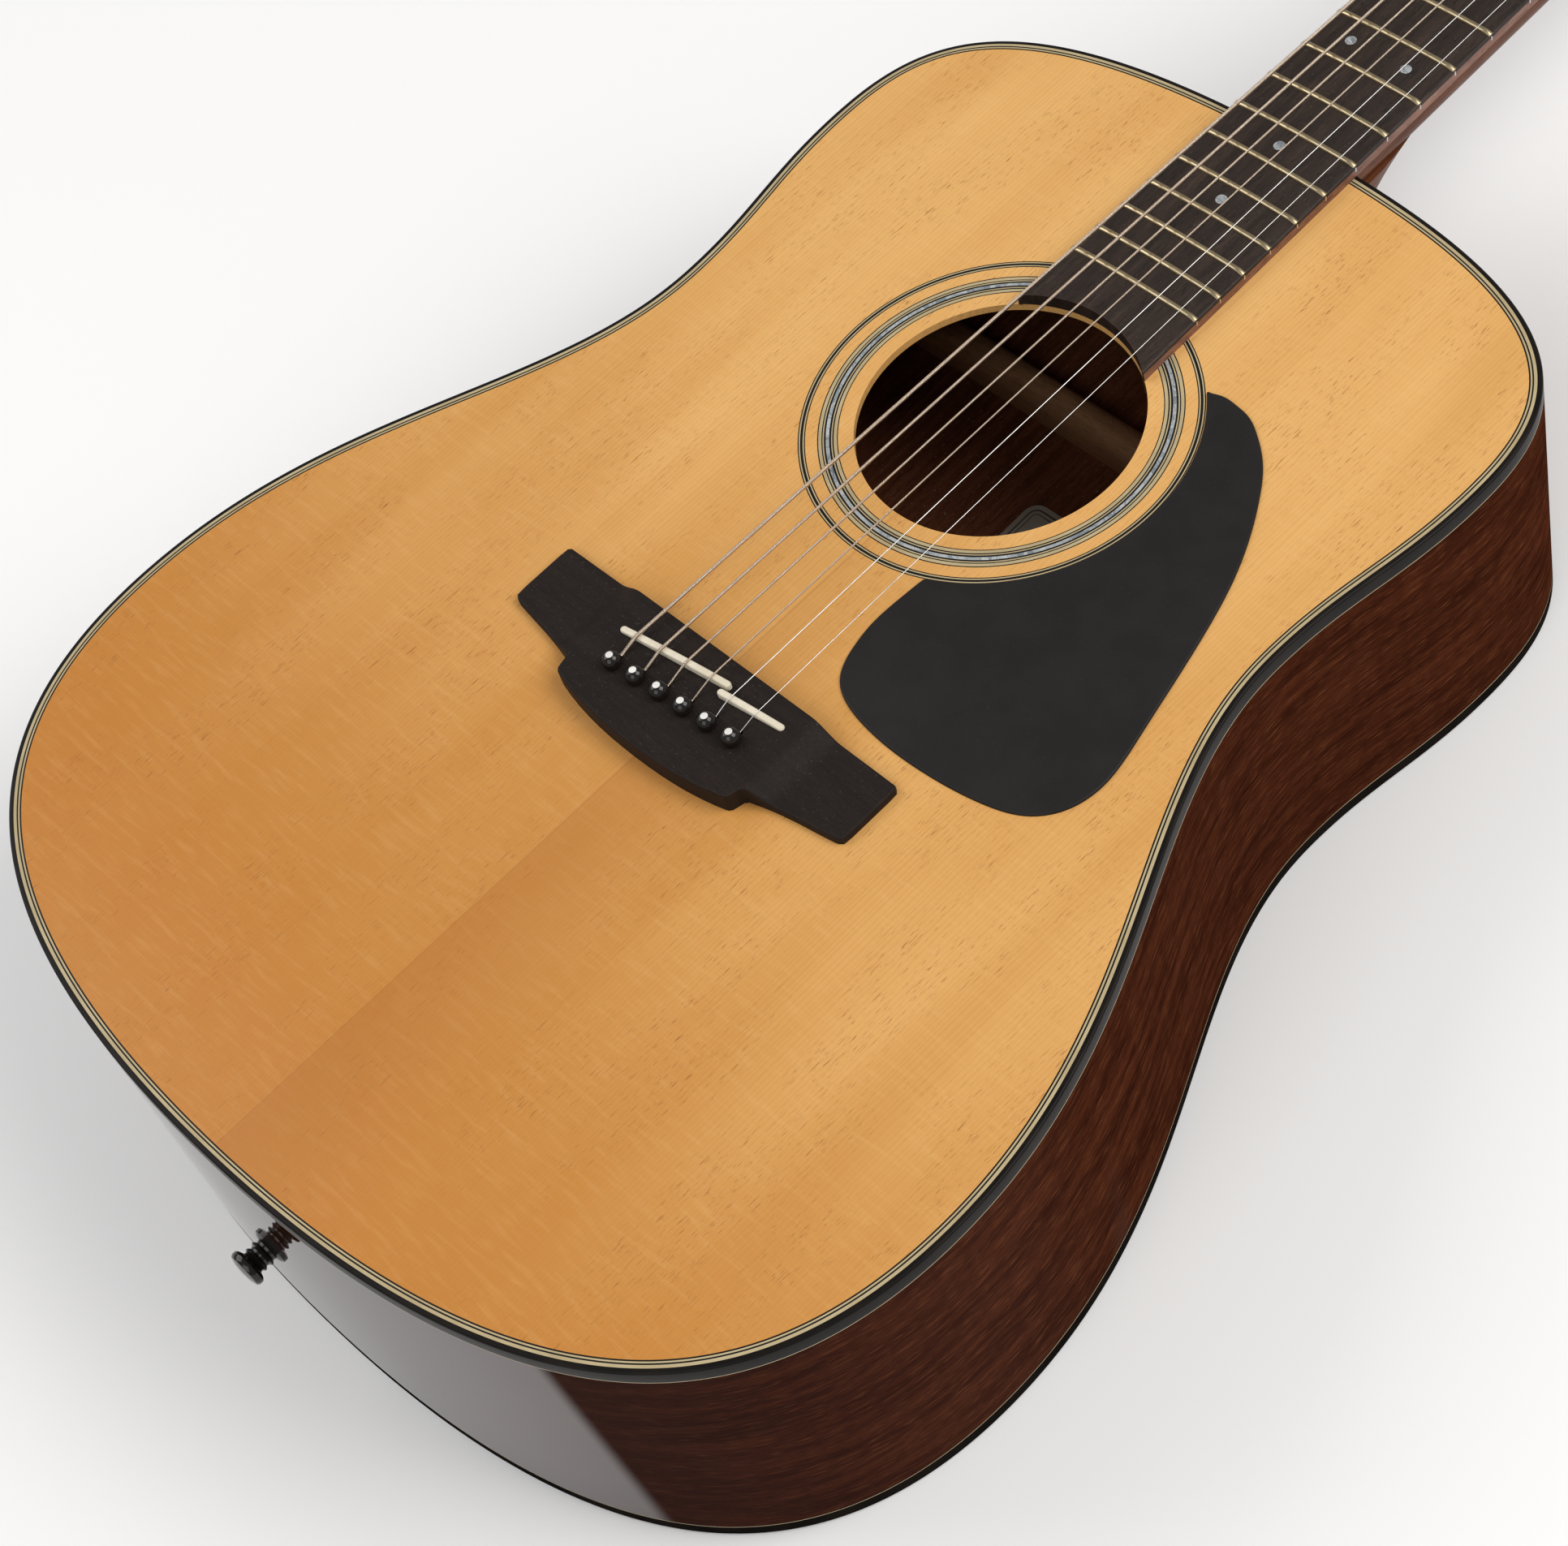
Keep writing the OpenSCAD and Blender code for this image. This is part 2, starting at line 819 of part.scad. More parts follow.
module frets() {
    color([0.75, 0.66, 0.45])
        lie()
            for (n = [1 : 20])
                intersection() {
                    difference() {
                        board_crown(fret_height);
                        board_crown(tiny);
                    }
                    translate([-board_width(fret_y(n)) / 2 + 0.2, fret_y(n) - fret_width / 2, 0])
                        cube([board_width(fret_y(n)) - 0.4, fret_width, 10]);
                }
}

module nut() {
    color([0.85, 0.8, 0.7])
        lie()
            difference() {
                intersection() {
                    translate([-nut_width / 2, nut_y + seat_gap, 0])
                        cube([nut_width, nut_depth - seat_gap, 12]);
                    board_crown(fret_height + 1.1);
                }
                for (i = [1 : 6])
                    translate([nut_x(i) - string_r(i) - slot_gap, nut_y - 2, nut_point(i)[2] - string_r(i) - slot_gap])
                        cube([2 * (string_r(i) + slot_gap), 12, 8]);
            }
}

module headstock_veneer() {
    color([0.12, 0.08, 0.06])
        lie()
            difference() {
                head_slab(-veneer, 0);
                tuner_bores(5 + seat_gap);
                translate([-40, nut_y - 5, 0])
                    cube([80, 5 + nut_depth + seat_gap, 10]);
            }
}

truss_end = joint_y - neck_block_length;

module truss_rod() {
    color([0.5, 0.5, 0.5])
        lie()
            translate([0, 0, truss_z]) {
                along_y(truss_end - 8, truss_end + 1, 2.5, 2.5);
                along_y(truss_end, nut_y - 42, truss_radius, truss_radius);
            }
}

module truss_nut() {
    color([0.62, 0.5, 0.28])
        lie()
            translate([0, 0, truss_z])
                difference() {
                    along_y(truss_end - 13, truss_end - 0.5, 5, 5);
                    along_y(truss_end - 8.5, truss_end + 1, 2.5 + running_gap, 2.5 + running_gap);
                    along_y(truss_end - 14, truss_end - 8, 2.3, 2.3, $fn = 6);
                }
}

module neck_bolts() {
    color([0.5, 0.5, 0.5])
        lie()
            for (k = [0, 1])
                translate([0, 0, bolt_depths[k]])
                    difference() {
                        union() {
                            along_y(truss_end - 1, bolt_ends[k], 3, 3);
                            along_y(truss_end - 6, truss_end - seat_gap, 5.5, 5.5);
                        }
                        along_y(truss_end - 7, truss_end - 3, 2.5, 2.5, $fn = 6);
                    }
}

// ---------------------------------------------------------------- tuners

module at_tuner(i) {
    lie()
        on_head()
            translate([post_x(i), post_y(i), 0])
                mirror([side_of(i) > 0 ? 0 : 1, 0, 0])
                    children();
}

// a bar along the worm's axis, which runs out sideways from the post
module along_x(from, to, r) {
    translate([from, worm_distance, worm_z])
        rotate([0, 90, 0])
            cylinder(h = to - from, r = r);
}

housing_low = back_face - 12;
shaft_out = 27;

module housing_screw_places() {
    translate([-2, -10.5, 0])
        children();
}

module screw_bores(r) {
    on_head()
        for (i = [1 : 6])
            translate([post_x(i), post_y(i), 0])
                mirror([side_of(i) > 0 ? 0 : 1, 0, 0])
                    housing_screw_places()
                        translate([0, 0, back_face - 4])
                            cylinder(h = 12, r = r, $fn = 32);
}

module tuner_housings() {
    color([0.78, 0.78, 0.78])
        for (i = [1 : 6])
            at_tuner(i)
                difference() {
                    union() {
                        translate([-8, -8, housing_low])
                            cube([17, 20.5, 12]);
                        translate([-5.5, -14, back_face - 2])
                            cube([7, 7, 2]);
                    }
                    translate([0, 0, housing_low + 1.4])
                        cylinder(h = 9.2, r = gear_radius + 0.8);
                    along_x(-6, 7, worm_radius + 0.6);
                    along_x(5, 12, shaft_radius + running_gap);
                    translate([0, 0, housing_low + 5])
                        cylinder(h = 20, r = post_radius + running_gap);
                    housing_screw_places()
                        translate([0, 0, back_face - 4])
                            cylinder(h = 12, r = 1.2 + seat_gap, $fn = 32);
                }
}

module housing_screws() {
    color([0.7, 0.7, 0.7])
        for (i = [1 : 6])
            at_tuner(i)
                housing_screw_places() {
                    translate([0, 0, back_face - 2.5])
                        cylinder(h = 9, r = 1.2, $fn = 32);
                    translate([0, 0, back_face - 3.6])
                        cylinder(h = 1.5, r = 2.3, $fn = 32);
                }
}

module tuner_bushings() {
    color([0.78, 0.78, 0.78])
        for (i = [1 : 6])
            at_tuner(i)
                difference() {
                    union() {
                        translate([0, 0, -10])
                            cylinder(h = 11, r = 5);
                        translate([0, 0, seat_gap])
                            cylinder(h = 2, r = 6.8);
                    }
                    translate([0, 0, -20])
                        cylinder(h = 40, r = post_radius + running_gap);
                }
}

module tuner_post(i) {
    color([0.8, 0.8, 0.8])
        at_tuner(i)
            difference() {
                union() {
                    translate([0, 0, housing_low + 1.8])
                        cylinder(h = post_top - housing_low - 1.8, r = post_radius);
                    translate([0, 0, worm_z - 3])
                        linear_extrude(6)
                            polygon([for (k = [0 : gear_teeth - 1]) for (s = [-3, -1, 1, 3])
                                let (a = (k + s * 0.12) * 360 / gear_teeth,
                                    r = abs(s) > 2 ? gear_radius - 1 : gear_radius)
                                r * [cos(a), sin(a)]]);
                }
                translate([-6, 0, winding_z + 2.6 + 2 * string_r(i)])
                    rotate([0, 90, 0])
                        cylinder(h = 12, r = 0.9, $fn = 24);
            }
}

module tuner_worm(i) {
    color([0.7, 0.62, 0.4])
        at_tuner(i)
            difference() {
                union() {
                    along_x(5, shaft_out, shaft_radius);
                    along_x(-5.4, 6.4, worm_radius);
                }
                for (x = [-4 : 2.2 : 5])
                    difference() {
                        along_x(x, x + 1, worm_radius + 1);
                        along_x(x - 1, x + 2, worm_radius - 0.7);
                    }
            }
}

module tuner_button(i) {
    color([0.82, 0.82, 0.82])
        at_tuner(i)
            difference() {
                union() {
                    translate([shaft_out - 1 + button_radius, worm_distance, worm_z])
                        rotate_extrude()
                            polygon([[0, -3.5], [button_radius - 2.5, -3.5], [button_radius - 0.7, -2.7],
                                [button_radius, -1.2], [button_radius, 1.2], [button_radius - 0.7, 2.7],
                                [button_radius - 2.5, 3.5], [0, 3.5]]);
                    along_x(shaft_out - 8, shaft_out + 2, 2.8);
                }
                along_x(shaft_out - 9, shaft_out, shaft_radius);
            }
}

// ---------------------------------------------------------------- strings

function to_head(p) = [p[0],
    nut_y + nut_depth + p[1] * cos(head_angle) + p[2] * sin(head_angle),
    -p[1] * sin(head_angle) + p[2] * cos(head_angle)];
function winding_r(i) = post_radius + string_r(i) + 0.12;
function post_point(i) = to_head([post_x(i) - side_of(i) * winding_r(i), post_y(i), winding_z]);

module one_string(i) {
    r = string_r(i);
    color(i > 2 ? [0.62, 0.5, 0.34] : [0.75, 0.75, 0.75])
        lie() {
            bar(anchor(i), exit_point(i), r);
            translate(anchor(i))
                sphere(r = ball_radius, $fn = 32);
            bar(exit_point(i), saddle_point(i), r);
            bar(saddle_point(i), nut_point(i), r);
            bar(nut_point(i), post_point(i) + 0.6 * unit(post_point(i) - nut_point(i)), r);
            translate(exit_point(i))
                sphere(r = r + 0.1, $fn = 32);
            for (p = [saddle_point(i), nut_point(i)])
                translate(p)
                    sphere(r = r + 0.03, $fn = 32);
            on_head()
                translate([post_x(i), post_y(i), winding_z + r])
                    rotate_extrude()
                        polygon(concat(
                            [[winding_r(i) - r, -2 * turns * r], [winding_r(i) - r, 0]],
                            [for (k = [0 : turns - 1]) for (q = [[0.5, 0], [1, -0.5], [1, -1.5], [0.5, -2]])
                                [winding_r(i) + q[0] * r, (q[1] - 2 * k) * r]]));
        }
}

module end_pin() {
    color([0.05, 0.05, 0.05])
        lie()
            translate([0, tail_y, pin_z])
                rotate([90, 0, 0]) {
                    translate([0, 0, -18])
                        cylinder(h = 18.5, r1 = 3.2, r2 = 4);
                    rotate_extrude()
                        polygon([[0, 0], [7, 0], [7, 1.2], [4.6, 2.4], [3.8, 5], [4.4, 8], [6.6, 9.6],
                            [6.8, 10.8], [6, 11.8], [3.5, 12.6], [0, pin_reach]]);
                }
}

soundboard();
back_plate();
side_bass();
side_treble();
neck_block();
tail_block();
linings();
top_binding();
back_binding();
purfling_light();
purfling_dark();
rosette_light();
rosette_dark();
rosette_pearl();
pickguard();
bridge();
saddles();
bridge_pins();
pin_dots();
bridge_plate();
top_braces();
back_braces();
neck();
heel_cap();
fretboard();
frets();
position_dots();
nut();
headstock_veneer();
truss_rod();
truss_nut();
neck_bolts();
tuner_housings();
tuner_bushings();
housing_screws();
end_pin();
one_string(1);  // string_1
one_string(2);  // string_2
one_string(3);  // string_3
one_string(4);  // string_4
one_string(5);  // string_5
one_string(6);  // string_6
tuner_button(1);  // tuner_button_1
tuner_button(2);  // tuner_button_2
tuner_button(3);  // tuner_button_3
tuner_button(4);  // tuner_button_4
tuner_button(5);  // tuner_button_5
tuner_button(6);  // tuner_button_6
tuner_worm(1);  // tuner_worm_1
tuner_worm(2);  // tuner_worm_2
tuner_worm(3);  // tuner_worm_3
tuner_worm(4);  // tuner_worm_4
tuner_worm(5);  // tuner_worm_5
tuner_worm(6);  // tuner_worm_6
tuner_post(1);  // tuner_post_1
tuner_post(2);  // tuner_post_2
tuner_post(3);  // tuner_post_3
tuner_post(4);  // tuner_post_4
tuner_post(5);  // tuner_post_5
tuner_post(6);  // tuner_post_6
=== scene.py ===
# Steel-string acoustic guitar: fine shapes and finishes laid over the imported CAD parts.
# Metres throughout. Shapes are drawn with the soundboard level, its soundhole at the origin,
# then laid on the back like the CAD parts.
import math
import bmesh
import bpy
import numpy as np
from mathutils import Matrix, Vector
from mathutils.geometry import tessellate_polygon


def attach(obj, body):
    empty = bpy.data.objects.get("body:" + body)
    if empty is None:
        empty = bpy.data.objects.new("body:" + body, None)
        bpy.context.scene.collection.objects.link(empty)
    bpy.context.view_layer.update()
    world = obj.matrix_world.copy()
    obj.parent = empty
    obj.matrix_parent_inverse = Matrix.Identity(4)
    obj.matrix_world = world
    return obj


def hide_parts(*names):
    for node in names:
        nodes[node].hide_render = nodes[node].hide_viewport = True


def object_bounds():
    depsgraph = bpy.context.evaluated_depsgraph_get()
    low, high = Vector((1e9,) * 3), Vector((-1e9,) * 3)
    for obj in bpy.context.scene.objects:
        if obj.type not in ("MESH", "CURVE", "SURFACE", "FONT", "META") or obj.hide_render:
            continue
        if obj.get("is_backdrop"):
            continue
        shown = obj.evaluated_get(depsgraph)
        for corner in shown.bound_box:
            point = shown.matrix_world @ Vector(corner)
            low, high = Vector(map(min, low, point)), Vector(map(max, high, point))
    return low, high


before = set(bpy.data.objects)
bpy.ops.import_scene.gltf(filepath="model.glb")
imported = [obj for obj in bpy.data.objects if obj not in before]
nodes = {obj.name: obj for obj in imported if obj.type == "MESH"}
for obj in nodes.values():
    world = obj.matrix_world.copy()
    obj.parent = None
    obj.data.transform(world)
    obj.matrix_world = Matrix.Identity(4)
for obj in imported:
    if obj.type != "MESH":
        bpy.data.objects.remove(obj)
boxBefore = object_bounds()
mm = 0.001
print("frame loaded:", len(nodes), "parts")


def rawVerts(name):
    # points of a CAD part, as packed
    mesh = nodes[name].data
    co = np.zeros(len(mesh.vertices) * 3, np.float64)
    mesh.vertices.foreach_get("co", co)
    return co.reshape(-1, 3)


def moved(points, matrix):
    m = np.array(matrix)
    return np.asarray(points, float) @ m[:3, :3].T + m[:3, 3]


def faceNormal(name, minZ):
    faces = [p for p in nodes[name].data.polygons if p.normal.z > minZ]
    return max(faces, key=lambda p: p.area).normal


topNormal = faceNormal("soundboard", 0.9)
tilt = math.atan2(topNormal.y, topNormal.z)
level = Matrix.Rotation(-tilt, 4, "X")
pearl = moved(rawVerts("rosette_pearl"), level.inverted())
holeX, holeY = (pearl.min(0) + pearl.max(0))[:2] / 2
topZ = moved(rawVerts("soundboard"), level.inverted())[:, 2].max()
laid = level @ Matrix.Translation((holeX, holeY, topZ))
unlaid = laid.inverted()


def localVerts(name, matrix=unlaid):
    return moved(rawVerts(name), matrix)


def extent(name, matrix=unlaid):
    v = localVerts(name, matrix)
    return v.min(0), v.max(0)


def islands(name, matrix=unlaid):
    # the separate solids of one part, each as its own points
    bm = bmesh.new()
    bm.from_mesh(nodes[name].data)
    bmesh.ops.remove_doubles(bm, verts=bm.verts, dist=1e-6)
    seen, found = set(), []
    for start in bm.verts:
        if start in seen:
            continue
        stack, group = [start], []
        seen.add(start)
        while stack:
            v = stack.pop()
            group.append(v.co[:])
            for e in v.link_edges:
                o = e.other_vert(v)
                if o not in seen:
                    seen.add(o)
                    stack.append(o)
        found.append(moved(group, matrix))
    bm.free()
    return found


def faceLoops(name, matrix=unlaid, up=True, depth=0.4 * mm):
    # boundary loops of a part's upper (or lower) flat face, longest first
    bm = bmesh.new()
    bm.from_mesh(nodes[name].data)
    bmesh.ops.remove_doubles(bm, verts=bm.verts, dist=2e-6)
    bm.transform(matrix)
    bm.normal_update()
    edge = max(v.co.z for v in bm.verts) if up else min(v.co.z for v in bm.verts)
    flatFaces = {f for f in bm.faces if (f.normal.z > 0.97 if up else f.normal.z < -0.97)
        and abs(f.calc_center_median().z - edge) < depth}
    border = {}
    for e in bm.edges:
        if sum(f in flatFaces for f in e.link_faces) == 1:
            for v in e.verts:
                border.setdefault(v, []).append(e)
    loops, used = [], set()
    for start in border:
        if start in used:
            continue
        loop, v = [], start
        while v is not None and v not in used:
            used.add(v)
            loop.append(v.co[:2])
            v = next((e.other_vert(v) for e in border[v] if e.other_vert(v) not in used), None)
        if len(loop) > 2:
            loop = np.array(loop)
            x, y = loop[:, 0], loop[:, 1]
            if np.sum(x * np.roll(y, -1) - y * np.roll(x, -1)) < 0:
                loop = loop[::-1]
            loops.append(loop)
    bm.free()
    return sorted(loops, key=lambda p: -np.linalg.norm(p.max(0) - p.min(0)))


def unit(v):
    return v / np.maximum(np.linalg.norm(v, axis=-1, keepdims=True), 1e-12)


def smoothLoop(points, count):
    # closed cubic spline through the points, evenly spaced
    n = len(points)
    p = np.vstack([points, points[:1]])
    t = np.concatenate([[0], np.cumsum(np.linalg.norm(np.diff(p, axis=0), axis=1))])
    h = np.diff(t)
    a, b = np.zeros((n, n)), np.zeros((n, 2))
    for i in range(n):
        l, r = h[i - 1], h[i]
        a[i, i - 1] += l
        a[i, i] += 2 * (l + r)
        a[i, (i + 1) % n] += r
        b[i] = 6 * ((p[i + 1] - p[i]) / r - (p[i] - p[i - 1 if i else n - 1]) / l)
    m = np.linalg.solve(a, b)
    m = np.vstack([m, m[:1]])
    s = np.linspace(0, t[-1], count, endpoint=False)
    k = np.clip(np.searchsorted(t, s, side="right") - 1, 0, n - 1)
    u, w, hk = (s - t[k])[:, None], (t[k + 1] - s)[:, None], h[k][:, None]
    return (m[k] * w ** 3 + m[k + 1] * u ** 3) / (6 * hk) \
        + (p[k] / hk - m[k] * hk / 6) * w + (p[k + 1] / hk - m[k + 1] * hk / 6) * u


def inset(loop, d):
    # a closed loop moved to its left by d
    ahead = unit(np.roll(loop, -1, 0) - loop)
    behind = unit(loop - np.roll(loop, 1, 0))
    t = unit(ahead + behind)
    out = np.stack([t[:, 1], -t[:, 0]], 1)
    stretch = np.maximum((ahead * t).sum(1), 0.6)
    return loop - out * (np.asarray(d) / stretch)[:, None]


def circle(radius, count=96, centre=(0, 0), start=0.0):
    a = start + np.linspace(0, 2 * math.pi, count, endpoint=False)
    return np.stack([centre[0] + radius * np.cos(a), centre[1] + radius * np.sin(a)], 1)


def roundedBox(x0, x1, y0, y1, r, count=6):
    corners = [(x1 - r, y0 + r, -90), (x1 - r, y1 - r, 0), (x0 + r, y1 - r, 90), (x0 + r, y0 + r, 180)]
    pts = []
    for cx, cy, start in corners:
        for k in range(count + 1):
            a = math.radians(start + 90 * k / count)
            pts.append((cx + r * math.cos(a), cy + r * math.sin(a)))
    return np.array(pts)


def softened(loop, rounds=2, share=0.25):
    # corners of a closed loop cut back a little
    for _ in range(rounds):
        nxt = np.roll(loop, -1, 0)
        cuts = [loop * (1 - share) + nxt * share, loop * share + nxt * (1 - share)]
        loop = np.stack(cuts, 1).reshape(-1, 2)
    return loop


def dense(loop, step):
    # extra points along a closed loop's long stretches
    pts = []
    for a, b in zip(loop, np.roll(loop, -1, 0)):
        n = max(1, int(np.linalg.norm(b - a) / step))
        for k in range(n):
            pts.append(a + (b - a) * k / n)
    return np.array(pts)


def quarterRound(radius, steps):
    # (inset, drop) pairs from an upright wall onto a flat top
    angles = [math.pi / 2 * k / steps for k in range(steps + 1)]
    return [(radius * (1 - math.cos(a)), radius * (1 - math.sin(a))) for a in angles]


def halfArch(count, fullness=1.0, crest=1.0):
    # (across, up) pairs of a half round, squared off by the two powers
    pairs = [(math.cos(a), math.sin(a)) for a in np.linspace(0, math.pi, count)]
    return [(math.copysign(abs(c) ** fullness, c), s ** crest) for c, s in pairs]


def inMm(pairs):
    return [tuple(v * mm for v in pair) for pair in pairs]


def gridShape(rows, closedAcross=False, closedAlong=False, capEnds=False, uv=None):
    # a skin over rows of points; every shape is (points, faces, uv of each corner or None)
    rows = np.asarray(rows, float)
    n, m = rows.shape[:2]
    faces, uvs = [], []
    for i in range(n if closedAlong else n - 1):
        for j in range(m if closedAcross else m - 1):
            i2, j2 = (i + 1) % n, (j + 1) % m
            faces.append((i * m + j, i2 * m + j, i2 * m + j2, i * m + j2))
            if uv is not None:
                uvs.append([uv(i, j), uv(i + 1, j), uv(i + 1, j + 1), uv(i, j + 1)])
    if capEnds:
        faces.append(tuple(range(m)))
        faces.append(tuple((n - 1) * m + j for j in reversed(range(m))))
        if uv is not None:
            uvs += [[(0, 0)] * m] * 2
    return rows.reshape(-1, 3), faces, uvs if uv is not None else None


def prism(rows):
    # rows joined into a closed bar with flat ends
    return gridShape(rows, closedAcross=True, capEnds=True)


def plateShape(outer, low, high, holes=(), rounding=0.0, steps=3, underRounding=0.0):
    # a flat plate with rounded edges; the outline and the holes all run anticlockwise
    wall = [(0, low), (0, high)]
    if underRounding:
        wall[:1] = [(d, low + z) for d, z in reversed(quarterRound(underRounding, steps))]
    if rounding:
        wall[-1:] = [(d, high - z) for d, z in quarterRound(rounding, steps)]
    bm = bmesh.new()
    topRings, lowRings = [], []
    for loop in [outer] + [h[::-1] for h in holes]:
        rings = []
        for d, z in wall:
            flat = inset(loop, np.full(len(loop), d)) if d else loop
            rings.append([bm.verts.new((x, y, z)) for x, y in flat])
        for a, b in zip(rings, rings[1:]):
            for k in range(len(a)):
                k2 = (k + 1) % len(a)
                bm.faces.new((a[k], a[k2], b[k2], b[k]))
        topRings.append(rings[-1])
        lowRings.append(rings[0])
    for fills in (topRings, lowRings):
        ends = [v for ring in fills for v in ring]
        for a, b, c in tessellate_polygon([[v.co.copy() for v in ring] for ring in fills]):
            if len({a, b, c}) == 3:
                bm.faces.new((ends[a], ends[b], ends[c]))
    bmesh.ops.recalc_face_normals(bm, faces=bm.faces)
    return fromBmesh(bm)


def fromBmesh(bm):
    bm.verts.index_update()
    shape = (np.array([v.co[:] for v in bm.verts]), [tuple(v.index for v in f.verts) for f in bm.faces], None)
    bm.free()
    return shape


def latheShape(profile, count=48):
    # profile of (radius, height) turned about Z
    a = np.linspace(0, 2 * math.pi, count, endpoint=False)
    return prism([[(r * math.cos(t), r * math.sin(t), z) for t in a] for r, z in profile])


def placed(shape, matrix):
    return moved(shape[0], matrix), shape[1], shape[2]


def shifted(shape, x, y, z=0.0):
    return placed(shape, Matrix.Translation((x, y, z)))


def joined(shapes):
    points, faces, start = [], [], 0
    for p, f, _ in shapes:
        points.append(p)
        faces += [tuple(i + start for i in face) for face in f]
        start += len(p)
    return np.vstack(points), faces, None


def meshOf(name, shape):
    points, faces, uvs = shape
    mesh = bpy.data.meshes.new(name)
    mesh.from_pydata([tuple(p) for p in points], [], faces)
    if uvs is not None:
        layer = mesh.uv_layers.new(name="strip")
        layer.data.foreach_set("uv", [c for face in uvs for corner in face for c in corner])
    bm = bmesh.new()
    bm.from_mesh(mesh)
    bmesh.ops.recalc_face_normals(bm, faces=bm.faces)
    bm.to_mesh(mesh)
    bm.free()
    return mesh


def inScene(name, data):
    obj = bpy.data.objects.new(name, data)
    bpy.context.scene.collection.objects.link(obj)
    return obj


def smoothed(mesh, sharp=35):
    mesh.shade_smooth()
    mesh.set_sharp_from_angle(angle=math.radians(sharp))


def addPiece(name, shape, finish, replaces=(), body="guitar", matrix=laid, sharp=35, smooth=True):
    # one visual piece: its mesh, finish, body, and what it stands for in the CAD
    mesh = meshOf(name, shape)
    if smooth:
        smoothed(mesh, sharp)
    mesh.transform(matrix)
    obj = inScene(name, mesh)
    mesh.materials.append(finishes[finish])
    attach(obj, body)
    if replaces:
        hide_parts(*replaces)
    return obj


def cutAway(obj, cutters, matrix=laid):
    # boolean cut, applied to the mesh
    mesh = meshOf("cutter", joined(cutters))
    mesh.transform(matrix)
    tool = inScene("cutter", mesh)
    mod = obj.modifiers.new("cut", "BOOLEAN")
    mod.operation = "DIFFERENCE"
    mod.solver = "EXACT"
    mod.use_self = True
    mod.object = tool
    bpy.context.view_layer.update()
    done = bpy.data.meshes.new_from_object(obj.evaluated_get(bpy.context.evaluated_depsgraph_get()))
    obj.modifiers.remove(mod)
    obj.data = done
    smoothed(done)
    bpy.data.objects.remove(tool)
    return obj


def newGroup(name, inputs, outputs):
    group = bpy.data.node_groups.new(name, "ShaderNodeTree")
    for label, kind, value in inputs:
        s = group.interface.new_socket(name=label, in_out="INPUT", socket_type=kind)
        if value is not None:
            s.default_value = value
    for label, kind in outputs:
        group.interface.new_socket(name=label, in_out="OUTPUT", socket_type=kind)
    return group


class Nodes:
    # short hand for placing and joining shader nodes
    def __init__(self, tree):
        self.tree = tree
        self.count = 0

    def add(self, kind, **settings):
        node = self.tree.nodes.new(kind)
        node.location = (self.count % 8 * 200 - 900, -(self.count // 8) * 260)
        self.count += 1
        for key, value in settings.items():
            setattr(node, key, value)
        return node

    def set(self, socket, value):
        if isinstance(value, bpy.types.NodeSocket):
            self.tree.links.new(value, socket)
        elif value is not None:
            socket.default_value = value

    def math(self, operation, a, b=None, c=None, clamp=False):
        node = self.add("ShaderNodeMath", operation=operation, use_clamp=clamp)
        for socket, value in zip(node.inputs, (a, b, c)):
            self.set(socket, value)
        return node.outputs[0]

    def vector(self, operation, a, b=None):
        node = self.add("ShaderNodeVectorMath", operation=operation)
        self.set(node.inputs[0], a)
        self.set(node.inputs[1], b)
        return node.outputs[0]

    def noise(self, vector, scale, detail=3.0, rough=0.5, distort=0.0):
        node = self.add("ShaderNodeTexNoise")
        self.set(node.inputs["Vector"], vector)
        for label, value in (("Scale", scale), ("Detail", detail), ("Roughness", rough),
            ("Distortion", distort)):
            self.set(node.inputs[label], value)
        return node.outputs["Fac"]

    def ramp(self, value, lowIn, highIn, lowOut=0.0, highOut=1.0, smooth=True):
        node = self.add("ShaderNodeMapRange")
        node.interpolation_type = "SMOOTHSTEP" if smooth else "LINEAR"
        for socket, v in zip(node.inputs, (value, lowIn, highIn, lowOut, highOut)):
            self.set(socket, v)
        return node.outputs[0]

    def mix(self, factor, a, b, blend="MIX"):
        node = self.add("ShaderNodeMix", data_type="RGBA", blend_type=blend)
        self.set(node.inputs[0], factor)
        self.set(node.inputs[6], a)
        self.set(node.inputs[7], b)
        return node.outputs[2]

    def split(self, vector):
        node = self.add("ShaderNodeSeparateXYZ")
        self.set(node.inputs[0], vector)
        return node.outputs

    def combine(self, x, y, z):
        node = self.add("ShaderNodeCombineXYZ")
        for socket, value in zip(node.inputs, (x, y, z)):
            self.set(socket, value)
        return node.outputs[0]

    def stretched(self, parts, scales):
        return self.combine(*[p if k == 1 else self.math("MULTIPLY", p, k) for p, k in zip(parts, scales)])

    def group(self, group, values):
        node = self.add("ShaderNodeGroup")
        node.node_tree = group
        for label, value in values.items():
            self.set(node.inputs[label], value)
        return node.outputs

    def coords(self, kind="Object"):
        place = self.add("ShaderNodeTexCoord").outputs[kind]
        # object places are counted from the soundhole's centre
        return self.vector("SUBTRACT", place, laid.translation[:]) if kind == "Object" else place


vectorSocket, numberSocket = "NodeSocketVector", "NodeSocketFloat"


def groupEnds(group):
    n = Nodes(group)
    start = n.add("NodeGroupInput")
    end = n.add("NodeGroupOutput")
    return n, start.outputs, end.inputs


